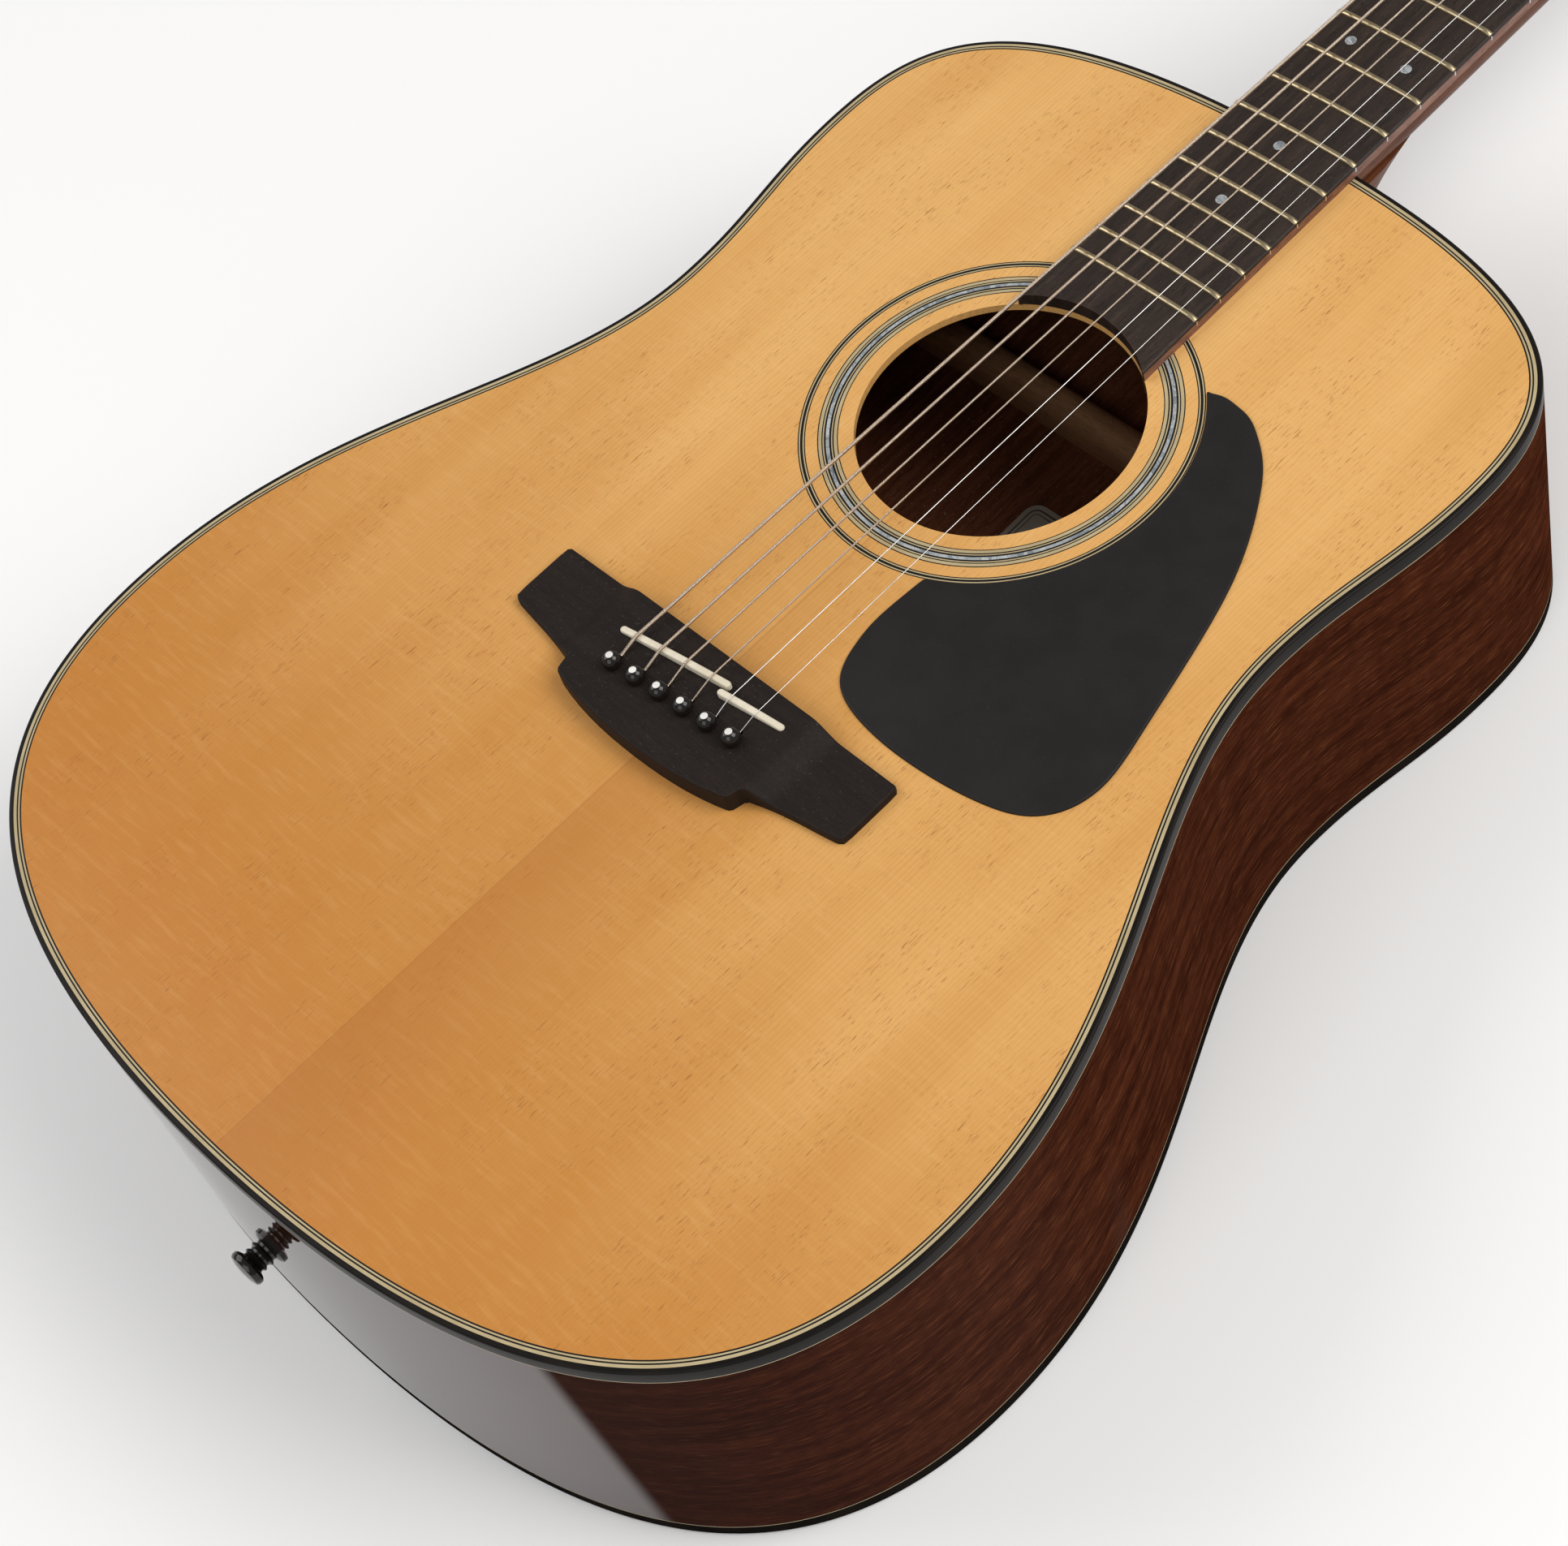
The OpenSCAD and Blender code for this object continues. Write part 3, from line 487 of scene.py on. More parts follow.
def makeGrain():
    # growth lines along the second axis: tight lines, soft bands and short pores
    g = newGroup("woodGrain", [("Vector", vectorSocket, None), ("Line Spacing", numberSocket, 1.5 * mm),
        ("Line Contrast", numberSocket, 0.5), ("Band Width", numberSocket, 30 * mm),
        ("Stretch", numberSocket, 14.0), ("Pore Size", numberSocket, 1 * mm),
        ("Pore Amount", numberSocket, 0.5)],
        [("Lines", numberSocket), ("Bands", numberSocket), ("Pores", numberSocket), ("Height", numberSocket)])
    n, i, o = groupEnds(g)
    x, y, z = n.split(i["Vector"])
    slow = n.math("DIVIDE", y, i["Stretch"])
    # gentle wander so that the lines aren't ruled
    wander = n.math("MULTIPLY", n.math("SUBTRACT", n.noise(n.combine(x, slow, z), 28.0, 2.0), 0.5), 5 * mm)
    across = n.math("ADD", x, wander)
    phase = n.math("DIVIDE", across, i["Line Spacing"])
    uneven = n.noise(n.stretched((phase, slow, z), (0.35, 30.0, 1)), 1.0, 3.0)
    ring = n.math("FRACT", n.math("ADD", phase, n.math("MULTIPLY", uneven, 2.0)))
    line = n.math("POWER", ring, 3.0)
    lines = n.math("MULTIPLY", line, n.ramp(uneven, 0.25, 0.75, 0.45, 1.0))
    n.set(o["Lines"], n.math("MULTIPLY", lines, i["Line Contrast"], clamp=True))
    bandVec = n.combine(n.math("DIVIDE", across, i["Band Width"]), n.math("DIVIDE", slow, i["Band Width"]), z)
    n.set(o["Bands"], n.noise(bandVec, 1.0, 4.0, 0.55))
    poreVec = n.combine(n.math("DIVIDE", across, i["Pore Size"]),
        n.math("DIVIDE", y, n.math("MULTIPLY", i["Pore Size"], 16.0)), n.math("DIVIDE", z, i["Pore Size"]))
    pore = n.noise(poreVec, 1.0, 2.0, 0.6)
    limit = n.math("SUBTRACT", 0.78, n.math("MULTIPLY", i["Pore Amount"], 0.28))
    pores = n.ramp(pore, limit, n.math("ADD", limit, 0.09))
    n.set(o["Pores"], pores)
    n.set(o["Height"], n.math("SUBTRACT", n.math("MULTIPLY", lines, 0.3), pores))
    return g


def makeEdgeWear():
    # light on outer edges, broken up so that it isn't even
    g = newGroup("edgeWear", [("Vector", vectorSocket, None), ("Radius", numberSocket, 1 * mm),
        ("Amount", numberSocket, 0.5), ("Break Scale", numberSocket, 200.0)], [("Mask", numberSocket)])
    n, i, o = groupEnds(g)
    bevel = n.add("ShaderNodeBevel", samples=4)
    n.set(bevel.inputs["Radius"], i["Radius"])
    normal = n.add("ShaderNodeNewGeometry").outputs["Normal"]
    dot = n.add("ShaderNodeVectorMath", operation="DOT_PRODUCT")
    n.set(dot.inputs[0], bevel.outputs[0])
    n.set(dot.inputs[1], normal)
    edge = n.ramp(dot.outputs["Value"], 0.995, 0.85, 0.0, 1.0)
    patch = n.ramp(n.noise(i["Vector"], i["Break Scale"], 4.0), 0.3, 0.7, 0.3, 1.0)
    n.set(o["Mask"], n.math("MULTIPLY", n.math("MULTIPLY", edge, patch), i["Amount"], clamp=True))
    return g


def makeHandling():
    # fine scratches, smudges and settled dust: a roughness change, a height and a dust mask
    g = newGroup("handlingMarks", [("Vector", vectorSocket, None), ("Scratch Scale", numberSocket, 250.0),
        ("Smudge Scale", numberSocket, 14.0), ("Dust", numberSocket, 0.1)],
        [("Roughness", numberSocket), ("Height", numberSocket), ("Dust Mask", numberSocket)])
    n, i, o = groupEnds(g)
    smudge = n.noise(i["Vector"], i["Smudge Scale"], 5.0, 0.6, 0.4)
    x, y, z = n.split(i["Vector"])
    hair = n.noise(n.stretched((x, y, z), (0.12, 1, 1)), i["Scratch Scale"], 2.0, 0.5, 1.2)
    scratch = n.ramp(n.math("ABSOLUTE", n.math("SUBTRACT", hair, 0.5)), 0.012, 0.0)
    n.set(o["Roughness"], n.math("ADD", n.math("MULTIPLY", n.math("SUBTRACT", smudge, 0.5), 0.7),
        n.math("MULTIPLY", scratch, 0.12)))
    n.set(o["Height"], n.math("MULTIPLY", scratch, -1.0))
    facingUp = n.split(n.add("ShaderNodeNewGeometry").outputs["Normal"])[2]
    speck = n.ramp(n.noise(i["Vector"], 900.0, 2.0, 0.7), 0.62, 0.75)
    n.set(o["Dust Mask"], n.math("MULTIPLY", n.math("MULTIPLY", speck, n.ramp(facingUp, 0.5, 1.0)),
        i["Dust"], clamp=True))
    return g


grainGroup = makeGrain()
wearGroup = makeEdgeWear()
handlingGroup = makeHandling()


def newFinish(name):
    mat = bpy.data.materials.new(name)
    mat.use_nodes = True
    n = Nodes(mat.node_tree)
    shader = mat.node_tree.nodes["Principled BSDF"]
    return mat, n, shader


dustColour = (0.55, 0.52, 0.47, 1)


def finishSurface(n, shader, colour, look, roughness=None, height=None, vector=None):
    # shared ending: dust and smudges over the colour, roughness and bump
    marks = n.group(handlingGroup, {"Vector": vector or n.coords(), "Dust": look.get("dust", 0.05),
        "Smudge Scale": look.get("smudgeScale", 14.0)})
    n.set(shader.inputs["Base Color"], n.mix(marks["Dust Mask"], colour, dustColour))
    base = roughness if roughness is not None else look["roughness"]
    spread = n.math("MULTIPLY", marks["Roughness"], look.get("roughSpread", 0.15))
    n.set(shader.inputs["Roughness"], n.math("ADD", base, spread, clamp=True))
    bump = n.add("ShaderNodeBump")
    bump.inputs["Distance"].default_value = look.get("bumpDistance", 0.02 * mm)
    bump.inputs["Strength"].default_value = look.get("bumpStrength", 0.3)
    total = n.math("MULTIPLY", marks["Height"], look.get("scratchDepth", 0.15))
    if height is not None:
        total = n.math("ADD", total, height)
    n.set(bump.inputs["Height"], total)
    n.set(shader.inputs["Normal"], bump.outputs[0])
    for label, key, usual in (("Coat Weight", "coat", 0.0), ("Coat Roughness", "coatRoughness", 0.05),
            ("Metallic", "metallic", 0.0), ("Specular IOR Level", "specular", 0.5)):
        shader.inputs[label].default_value = look.get(key, usual)


spruceLook = {
    "light": (0.79, 0.455, 0.158, 1), "dark": (0.62, 0.305, 0.078, 1), "line": (0.44, 0.185, 0.040, 1),
    # deep is the colour of the painted shade towards the tail
    "fleck": (0.30, 0.105, 0.022, 1), "deep": (0.49, 0.18, 0.021, 1),
    "silk": (0.88, 0.56, 0.24, 1), "shadow": (0.43, 0.155, 0.024, 1), "seamShade": 0.5, "seamReach": 62 * mm,
    "grain": {"Line Spacing": 1.7 * mm, "Line Contrast": 0.45, "Band Width": 36 * mm, "Stretch": 9.0,
        "Pore Size": 0.36 * mm, "Pore Amount": 0.62},
    "roughness": 0.45, "coat": 0.25, "coatRoughness": 0.16, "dust": 0.01, "bumpStrength": 0.2,
    "specular": 0.2,
}


def makeSpruce():
    mat, n, shader = newFinish("spruceTop")
    look = spruceLook
    x, y, z = n.split(n.coords())
    # book-matched: the left half mirrors the right one
    folded = n.combine(n.math("ABSOLUTE", x), y, z)
    grain = n.group(grainGroup, {"Vector": folded, **look["grain"]})
    broad = n.noise(n.combine(n.math("ABSOLUTE", x), n.math("MULTIPLY", y, 0.45), z), 9.0, 3.0, 0.5, 0.6)
    tone = n.math("ADD", n.math("MULTIPLY", n.ramp(grain["Bands"], 0.3, 0.7), 0.45),
        n.math("MULTIPLY", n.ramp(broad, 0.3, 0.7), 0.5))
    colour = n.mix(tone, look["light"], look["dark"])
    colour = n.mix(n.math("MULTIPLY", grain["Lines"], 0.7), colour, look["line"])
    # painted shade: warmer and darker towards the tail on the bass side, away from the light
    deep = n.ramp(n.math("ADD", y, n.math("MULTIPLY", x, 0.3)), -0.06, -0.36, 0.0, 0.9)
    colour = n.mix(deep, colour, look["deep"])
    # silk: faint bars across the grain
    silk = n.noise(n.stretched((x, y, z), (60.0, 420.0, 1)), 1.0, 3.0, 0.6)
    colour = n.mix(n.math("MULTIPLY", n.ramp(silk, 0.45, 0.75), 0.10), colour, look["silk"])
    spots = n.ramp(n.noise(n.stretched((x, y, z), (40.0, 14.0, 1)), 1.0, 3.0), 0.36, 0.62)
    fleck = n.math("MULTIPLY", grain["Pores"], n.math("MULTIPLY", spots, 0.8))
    colour = n.mix(fleck, colour, look["fleck"])
    # the two halves take the light differently beside the seam
    near = n.ramp(n.math("ABSOLUTE", x), look["seamReach"], 0.0)
    towardsTail = n.ramp(y, 0.02, -0.30)
    rightSide = n.math("GREATER_THAN", x, 0.0)
    shade = n.math("MULTIPLY", n.math("MULTIPLY", near, towardsTail),
        n.math("MULTIPLY", rightSide, look["seamShade"]))
    colour = n.mix(shade, colour, look["shadow"])
    seam = n.ramp(n.math("ABSOLUTE", x), 0.35 * mm, 0.0, 0.0, 0.35)
    colour = n.mix(seam, colour, look["fleck"])
    finishSurface(n, shader, colour, look, height=n.math("MULTIPLY", grain["Height"], 0.5))
    return mat


sideLook = {
    "light": (0.085, 0.0235, 0.0100, 1), "dark": (0.034, 0.0085, 0.0042, 1),
    "line": (0.017, 0.0045, 0.003, 1),
    "fleck": (0.19, 0.065, 0.026, 1), "bandWidth": 6 * mm, "flashMix": 0.3,
    "roughness": 0.6, "coat": 0.04, "coatRoughness": 0.03, "dust": 0.0, "bumpStrength": 0.2,
    "specular": 0.0, "glossFrom": 0.69, "tailShade": 0.7,
}


mahoganyGrain = {"Line Spacing": 3.4 * mm, "Line Contrast": 0.7, "Stretch": 9.0, "Pore Size": 0.34 * mm,
    "Pore Amount": 0.85}


def makeMahogany(name, look, useStrip=False, folded=False, axis="y"):
    # ribboned reddish wood; the strip map runs along bent sides, folding mirrors the two halves of a back
    mat, n, shader = newFinish(name)
    if useStrip:
        x, y, z = n.split(n.coords("UV"))
        vec = n.combine(y, x, 0.0)
    else:
        x, y, z = n.split(n.coords())
        vec = n.combine(n.math("ABSOLUTE", x) if folded else x, y, z)
        if axis == "x":
            vec = n.combine(y, x, z)
    grain = n.group(grainGroup, {"Vector": vec, **mahoganyGrain,
        "Band Width": look.get("bandWidth", 11 * mm)})
    ribbon = n.ramp(grain["Bands"], 0.36, 0.66)
    vx, vy, vz = n.split(vec)
    flash = n.noise(n.stretched((vx, vy, vz), (130.0, 16.0, 1)), 1.0, 3.0, 0.6, 0.5)
    tone = n.math("ADD", n.math("MULTIPLY", ribbon, 0.6), n.math("MULTIPLY", n.ramp(flash, 0.4, 0.65),
        look.get("flashMix", 0.5)), clamp=True)
    colour = n.mix(tone, look["dark"], look["light"])
    colour = n.mix(n.math("MULTIPLY", grain["Lines"], 0.5), colour, look["line"])
    # short bright hairs beside the pores
    hairs = n.noise(n.stretched((vx, vy, vz), (1700.0, 95.0, 1700.0)), 1.0, 2.0, 0.6)
    colour = n.mix(n.ramp(hairs, 0.52, 0.72, 0.0, 0.55), colour, look.get("fleck", look["light"]))
    colour = n.mix(n.math("MULTIPLY", grain["Pores"], 0.55), colour, look["line"])
    if look.get("tailShade"):
        # painted shade: the wood is darkened round the tail, where the light falls off
        alongBody = n.split(n.coords())[1]
        colour = n.mix(n.ramp(alongBody, -0.22, -0.36, 0.0, look["tailShade"]), colour, look["line"])
    finishSurface(n, shader, colour, look, height=n.math("MULTIPLY", grain["Height"], 0.8), vector=vec)
    if look.get("glossFrom"):
        # the lacquer shows its gloss where it is seen edge-on, most of all round the tail
        facing = n.add("ShaderNodeLayerWeight").outputs["Facing"]
        roundTail = n.ramp(n.split(n.coords())[1], -0.16, -0.24, 0.0, 1.0)
        gloss = n.ramp(facing, look["glossFrom"], look["glossFrom"] + 0.02, look["coat"], 1.0)
        n.set(shader.inputs["Coat Weight"], n.math("MULTIPLY", gloss, roundTail))
    return mat


neckLook = dict(sideLook, glossFrom=None, tailShade=None, light=(0.20, 0.070, 0.030, 1),
    dark=(0.095, 0.030, 0.013, 1), line=(0.04, 0.012, 0.007, 1),
    coat=0.35, coatRoughness=0.2, roughness=0.45)
insideLook = dict(sideLook, glossFrom=None, tailShade=None, light=(0.24, 0.085, 0.042, 1),
    dark=(0.12, 0.038, 0.019, 1), line=(0.03, 0.01, 0.006, 1),
    coat=0.0, roughness=0.7, dust=0.25)
paleLook = {
    "light": (0.42, 0.22, 0.10, 1), "dark": (0.27, 0.125, 0.055, 1), "line": (0.14, 0.06, 0.028, 1),
    "roughness": 0.72, "dust": 0.3, "bumpStrength": 0.4, "bumpDistance": 0.05 * mm,
}
darkWoodLook = {
    "light": (0.040, 0.026, 0.020, 1), "dark": (0.0135, 0.0095, 0.0085, 1), "line": (0.006, 0.004, 0.0035, 1),
    "worn": (0.13, 0.055, 0.035, 1), "roughness": 0.52, "coat": 0.0, "dust": 0.06, "bumpStrength": 0.5,
    "bumpDistance": 0.05 * mm, "specular": 0.4,
}


darkGrain = {"Line Spacing": 2.4 * mm, "Line Contrast": 0.8, "Band Width": 6 * mm, "Stretch": 11.0,
    "Pore Size": 0.32 * mm, "Pore Amount": 0.9}


def makeDarkWood(name, look, axis="y", wear=0.6, edgeRadius=0.8 * mm, poreMix=0.75, lightMix=0.35):
    # close-grained dark wood with streaks, open pores and rubbed edges
    mat, n, shader = newFinish(name)
    x, y, z = n.split(n.coords())
    vec = n.combine(y, x, z) if axis == "x" else n.combine(x, y, z)
    grain = n.group(grainGroup, {"Vector": vec, **darkGrain})
    vx, vy, vz = n.split(vec)
    streak = n.noise(n.stretched((vx, vy, vz), (900.0, 45.0, 900.0)), 1.0, 3.0, 0.65)
    tone = n.math("ADD", n.math("MULTIPLY", n.ramp(grain["Bands"], 0.35, 0.7), 0.55),
        n.math("MULTIPLY", n.ramp(streak, 0.45, 0.7), lightMix), clamp=True)
    colour = n.mix(tone, look["dark"], look["light"])
    colour = n.mix(n.math("MULTIPLY", grain["Pores"], poreMix), colour, look["line"])
    edge = n.group(wearGroup, {"Vector": n.coords(), "Radius": edgeRadius, "Amount": wear})
    colour = n.mix(edge["Mask"], colour, look["worn"])
    finishSurface(n, shader, colour, look, height=grain["Height"])
    return mat


def makePlain(name, look):
    # moulded plastic, bone or paint: a cloudy tone, worn edges and handling marks
    mat, n, shader = newFinish(name)
    vec = n.coords()
    cloud = n.noise(vec, look.get("cloudScale", 60.0), 4.0, 0.55)
    colour = n.mix(n.ramp(cloud, 0.3, 0.7), look["colour"], look["shade"])
    edge = n.group(wearGroup, {"Vector": vec, "Radius": look.get("edgeRadius", 0.5 * mm),
        "Amount": look.get("wear", 0.3)})
    colour = n.mix(edge["Mask"], colour, look.get("worn", look["shade"]))
    fine = n.noise(vec, look.get("fineScale", 1500.0), 2.0)
    finishSurface(n, shader, colour, look, height=n.math("MULTIPLY", fine, look.get("fine", 0.1)))
    return mat


def makeMetal(name, look):
    # polished or drawn metal with tarnish in patches
    mat, n, shader = newFinish(name)
    vec = n.coords()
    x, y, z = n.split(vec)
    drawn = n.noise(n.stretched((x, y, z), (look.get("drawX", 1.0), look.get("drawY", 1.0), 1)),
        look.get("drawScale", 1800.0), 2.0, 0.6)
    tarnish = n.ramp(n.noise(vec, look.get("tarnishScale", 90.0), 5.0, 0.65), 0.42, 0.72)
    colour = n.mix(n.math("MULTIPLY", tarnish, look.get("tarnish", 0.25)), look["colour"], look["shade"])
    rough = n.math("ADD", look["roughness"], n.math("MULTIPLY", tarnish, look.get("tarnish", 0.25) * 0.6))
    finishSurface(n, shader, colour, look, roughness=rough,
        height=n.math("MULTIPLY", drawn, look.get("draw", 0.2)))
    return mat


woundLook = {"colour": (0.95, 0.80, 0.65, 1), "shade": (0.62, 0.46, 0.33, 1), "pitch": 0.42 * mm,
    "roughness": 0.28}


def makeWound():
    # wrap wire round the core: ridges along the string
    mat, n, shader = newFinish("woundString")
    look = woundLook
    alongString = n.split(n.coords())[1]
    turn = n.math("SINE", n.math("MULTIPLY", alongString, 2 * math.pi / look["pitch"]))
    tarnish = n.ramp(n.noise(n.coords(), 120.0, 4.0, 0.6), 0.4, 0.75, 0.0, 0.5)
    # painted shade in the grooves between the wraps, mixed with real tarnish patches
    grooveShade = n.ramp(turn, 0.0, -1.0, 0.0, 0.7)
    colour = n.mix(n.math("MAXIMUM", tarnish, grooveShade), look["colour"], look["shade"])
    n.set(shader.inputs["Base Color"], colour)
    shader.inputs["Metallic"].default_value = 1.0
    n.set(shader.inputs["Roughness"], n.math("ADD", look["roughness"], n.math("MULTIPLY", tarnish, 0.4)))
    bump = n.add("ShaderNodeBump")
    bump.inputs["Distance"].default_value = 0.08 * mm
    n.set(bump.inputs["Height"], turn)
    n.set(shader.inputs["Normal"], bump.outputs[0])
    return mat


pearlLook = {"a": (0.33, 0.36, 0.37, 1), "b": (0.52, 0.54, 0.53, 1), "c": (0.20, 0.23, 0.25, 1),
    "crack": (0.10, 0.10, 0.11, 1)}


def makePearl(name="pearlInlay", scale=420.0):
    mat, n, shader = newFinish(name)
    look = pearlLook
    vec = n.coords()
    cell = n.add("ShaderNodeTexVoronoi", feature="F1")
    n.set(cell.inputs["Vector"], n.vector("ADD", vec,
        n.vector("MULTIPLY", n.add("ShaderNodeTexNoise").outputs["Color"], (0.004, 0.004, 0))))
    cell.inputs["Scale"].default_value = scale
    edge = n.add("ShaderNodeTexVoronoi", feature="DISTANCE_TO_EDGE")
    n.set(edge.inputs["Vector"], vec)
    edge.inputs["Scale"].default_value = scale * 0.6
    r, g = n.split(cell.outputs["Color"])[:2]
    colour = n.mix(r, look["a"], look["b"])
    colour = n.mix(n.ramp(g, 0.55, 0.95), colour, look["c"])
    ripple = n.noise(vec, 1600.0, 4.0, 0.7, 2.0)
    colour = n.mix(n.math("MULTIPLY", n.ramp(ripple, 0.35, 0.65), 0.4), colour, look["c"])
    colour = n.mix(n.ramp(edge.outputs["Distance"], 0.05, 0.0, 0.0, 0.6), colour, look["crack"])
    finishSurface(n, shader, colour, {"roughness": 0.35, "coat": 0.25, "coatRoughness": 0.06, "dust": 0.0,
        "specular": 0.4})
    return mat


blackGloss = {"colour": (0.008, 0.0068, 0.006, 1), "shade": (0.013, 0.0105, 0.009, 1),
    "worn": (0.035, 0.028, 0.024, 1), "roughness": 0.3, "coat": 0.0, "wear": 0.15, "dust": 0.0,
    "specular": 0.14}
bridgeWoodLook = dict(darkWoodLook, light=(0.021, 0.0125, 0.0092, 1), dark=(0.0105, 0.0065, 0.0050, 1),
    roughness=0.62, specular=0.2)
boardWoodLook = dict(darkWoodLook, light=(0.058, 0.036, 0.026, 1), dark=(0.020, 0.0125, 0.0092, 1),
    roughness=0.48, specular=0.3)
# painted light: a lighter copy of the board's wood for its lit side walls
boardSideLightLook = dict(darkWoodLook, light=(0.34, 0.17, 0.11, 1), dark=(0.20, 0.085, 0.055, 1),
    line=(0.04, 0.015, 0.01, 1), roughness=0.42)
finishes = {
    "spruce": makeSpruce(),
    "side": makeMahogany("sideMahogany", sideLook, useStrip=True),
    "back": makeMahogany("backMahogany", sideLook, folded=True),
    "neck": makeMahogany("neckWood", neckLook),
    "inside": makeMahogany("insideMahogany", insideLook, folded=True),
    "insideStrip": makeMahogany("insideSide", insideLook, useStrip=True),
    "pale": makeMahogany("braceWood", paleLook, axis="x"),
    "paleLong": makeMahogany("blockWood", paleLook),
    "bridge": makeDarkWood("bridgeWood", bridgeWoodLook, axis="x", wear=0.6, edgeRadius=0.5 * mm),
    "board": makeDarkWood("boardWood", boardWoodLook, wear=0.35),
    "boardSidePaintedLight": makeDarkWood("boardSidePaintedLight", boardSideLightLook, wear=0.1),
    "veneer": makeDarkWood("veneerWood", dict(darkWoodLook, roughness=0.3, coat=0.7), wear=0.2),
    "pearl": makePearl(),
    "wound": makeWound(),
}
plainLooks = {  # finish: (material, look)
    "binding": ("bindingBlack", dict(blackGloss, specular=0.08)),
    "bindingLow": ("bindingBack", dict(blackGloss, specular=0.0, roughness=0.4)),
    "cream": ("creamLine", {"colour": (0.50, 0.41, 0.235, 1), "shade": (0.42, 0.33, 0.18, 1),
        "worn": (0.55, 0.46, 0.30, 1), "roughness": 0.4, "coat": 0.1, "dust": 0.01, "specular": 0.3}),
    "darkLine": ("darkLine", dict(blackGloss, roughness=0.35, coat=0.0, wear=0.0, specular=0.15)),
    "guard": ("pickguardPlastic", {"colour": (0.0145, 0.0135, 0.0132, 1),
        "shade": (0.0180, 0.0168, 0.0162, 1),
        "worn": (0.06, 0.055, 0.05, 1), "roughness": 0.44, "wear": 0.3, "dust": 0.015, "edgeRadius": 0.5 * mm,
        "specular": 0.16, "fine": 0.5, "fineScale": 2600.0}),
    "bone": ("bone", {"colour": (0.78, 0.71, 0.57, 1), "shade": (0.68, 0.61, 0.47, 1),
        "worn": (0.82, 0.76, 0.64, 1),
        "roughness": 0.38, "dust": 0.03, "cloudScale": 140.0}),
    "pinBlack": ("pinBlack", dict(blackGloss, roughness=0.12, coat=0.2, dust=0.0, specular=0.3)),
    "pinWhite": ("pinWhite", {"colour": (0.85, 0.84, 0.80, 1), "shade": (0.72, 0.70, 0.66, 1),
        "roughness": 0.25,
        "dust": 0.0}),
    "paper": ("paper", {"colour": (0.46, 0.41, 0.33, 1), "shade": (0.37, 0.32, 0.25, 1), "roughness": 0.85,
        "fine": 0.5, "dust": 0.2}),
    "ink": ("ink", {"colour": (0.09, 0.07, 0.06, 1), "shade": (0.14, 0.11, 0.09, 1), "roughness": 0.8,
        "fine": 0.4}),
}
metalLooks = {
    "fret": ("fretWire", {"colour": (0.52, 0.42, 0.26, 1), "shade": (0.30, 0.23, 0.14, 1), "roughness": 0.28,
        "drawX": 0.05, "draw": 0.3, "dust": 0.0}),
    "steel": ("steel", {"colour": (0.62, 0.62, 0.62, 1), "shade": (0.3, 0.29, 0.28, 1), "roughness": 0.3,
        "dust": 0.05}),
    "brass": ("brass", {"colour": (0.70, 0.52, 0.26, 1), "shade": (0.34, 0.22, 0.10, 1), "roughness": 0.3,
        "dust": 0.05}),
    "chrome": ("chrome", {"colour": (0.80, 0.80, 0.81, 1), "shade": (0.5, 0.49, 0.47, 1), "roughness": 0.07,
        "tarnish": 0.15, "draw": 0.05, "dust": 0.02}),
    "plainString": ("plainString", {"colour": (0.70, 0.69, 0.67, 1), "shade": (0.45, 0.43, 0.40, 1),
        "roughness": 0.3,
        "drawY": 0.05, "dust": 0.0}),
}
for finish, (name, look) in plainLooks.items():
    finishes[finish] = makePlain(name, look)
for finish, (name, look) in metalLooks.items():
    finishes[finish] = makeMetal(name, dict(look, metallic=1.0))
print("finishes made:", len(finishes))


# the body's edge line runs through the outer corners of the binding
edgeLook = {"points": 720, "sideThickness": 2.6 * mm, "bindingWidth": 1.9 * mm, "bindingHeight": 6 * mm,
    "bindingRounding": 0.9 * mm, "sideLine": 0.3 * mm, "wideLine": 1.05 * mm, "thinLine": 0.55 * mm,
    "inlayDepth": 1.4 * mm, "lift": 0.02 * mm, "sideLineDepth": 1 * mm, "plateGap": 0.02 * mm}

ring = localVerts("top_binding")
ring = np.unique(np.round(ring[ring[:, 2] > -0.2 * mm][:, :2], 6), axis=0)
middle = np.array([0.0, -0.19])
reach = np.linalg.norm(ring - middle, axis=1)
# a corner with another one just outside it lies on the binding's inner line
outerPts = [p for p, r in zip(ring, reach)
    if not any(0.2 * mm < np.linalg.norm(q - p) < 2.4 * mm and s > r for q, s in zip(ring, reach))]
outerPts = np.array(sorted(outerPts, key=lambda p: math.atan2(-(p - middle)[0], (p - middle)[1])))
# start at the tail and run anticlockwise
start = int(np.argmin(np.abs(outerPts[:, 0]) + (outerPts[:, 1] > -0.2)))
outerPts = np.roll(outerPts, -start, 0)
edgeLine = smoothLoop(outerPts, edgeLook["points"])
tangent = unit(np.roll(edgeLine, -1, 0) - np.roll(edgeLine, 1, 0))
edgeNormal = np.stack([tangent[:, 1], -tangent[:, 0]], 1)
edgeSteps = np.linalg.norm(np.roll(edgeLine, -1, 0) - edgeLine, axis=1)
arcLength = np.concatenate([[0], np.cumsum(edgeSteps)])
tailY, neckY = edgeLine[:, 1].min(), edgeLine[:, 1].max()
print("edge line:", len(outerPts), "corners, width %.4f" % (edgeLine[:, 0].max() * 2))


def rim(offset):
    return edgeLine + edgeNormal * offset


def backZ(y, above=0.0):
    # height of the back's outer face under the level soundboard
    return (above - laid[2][1] * y - laid[2][3]) / laid[2][2]


def ontoBack(shape):
    # heights above zero become heights above the back's outer face
    points = shape[0].copy()
    points[:, 2] = [backZ(y, z) for y, z in zip(points[:, 1], points[:, 2])]
    return points, shape[1], None


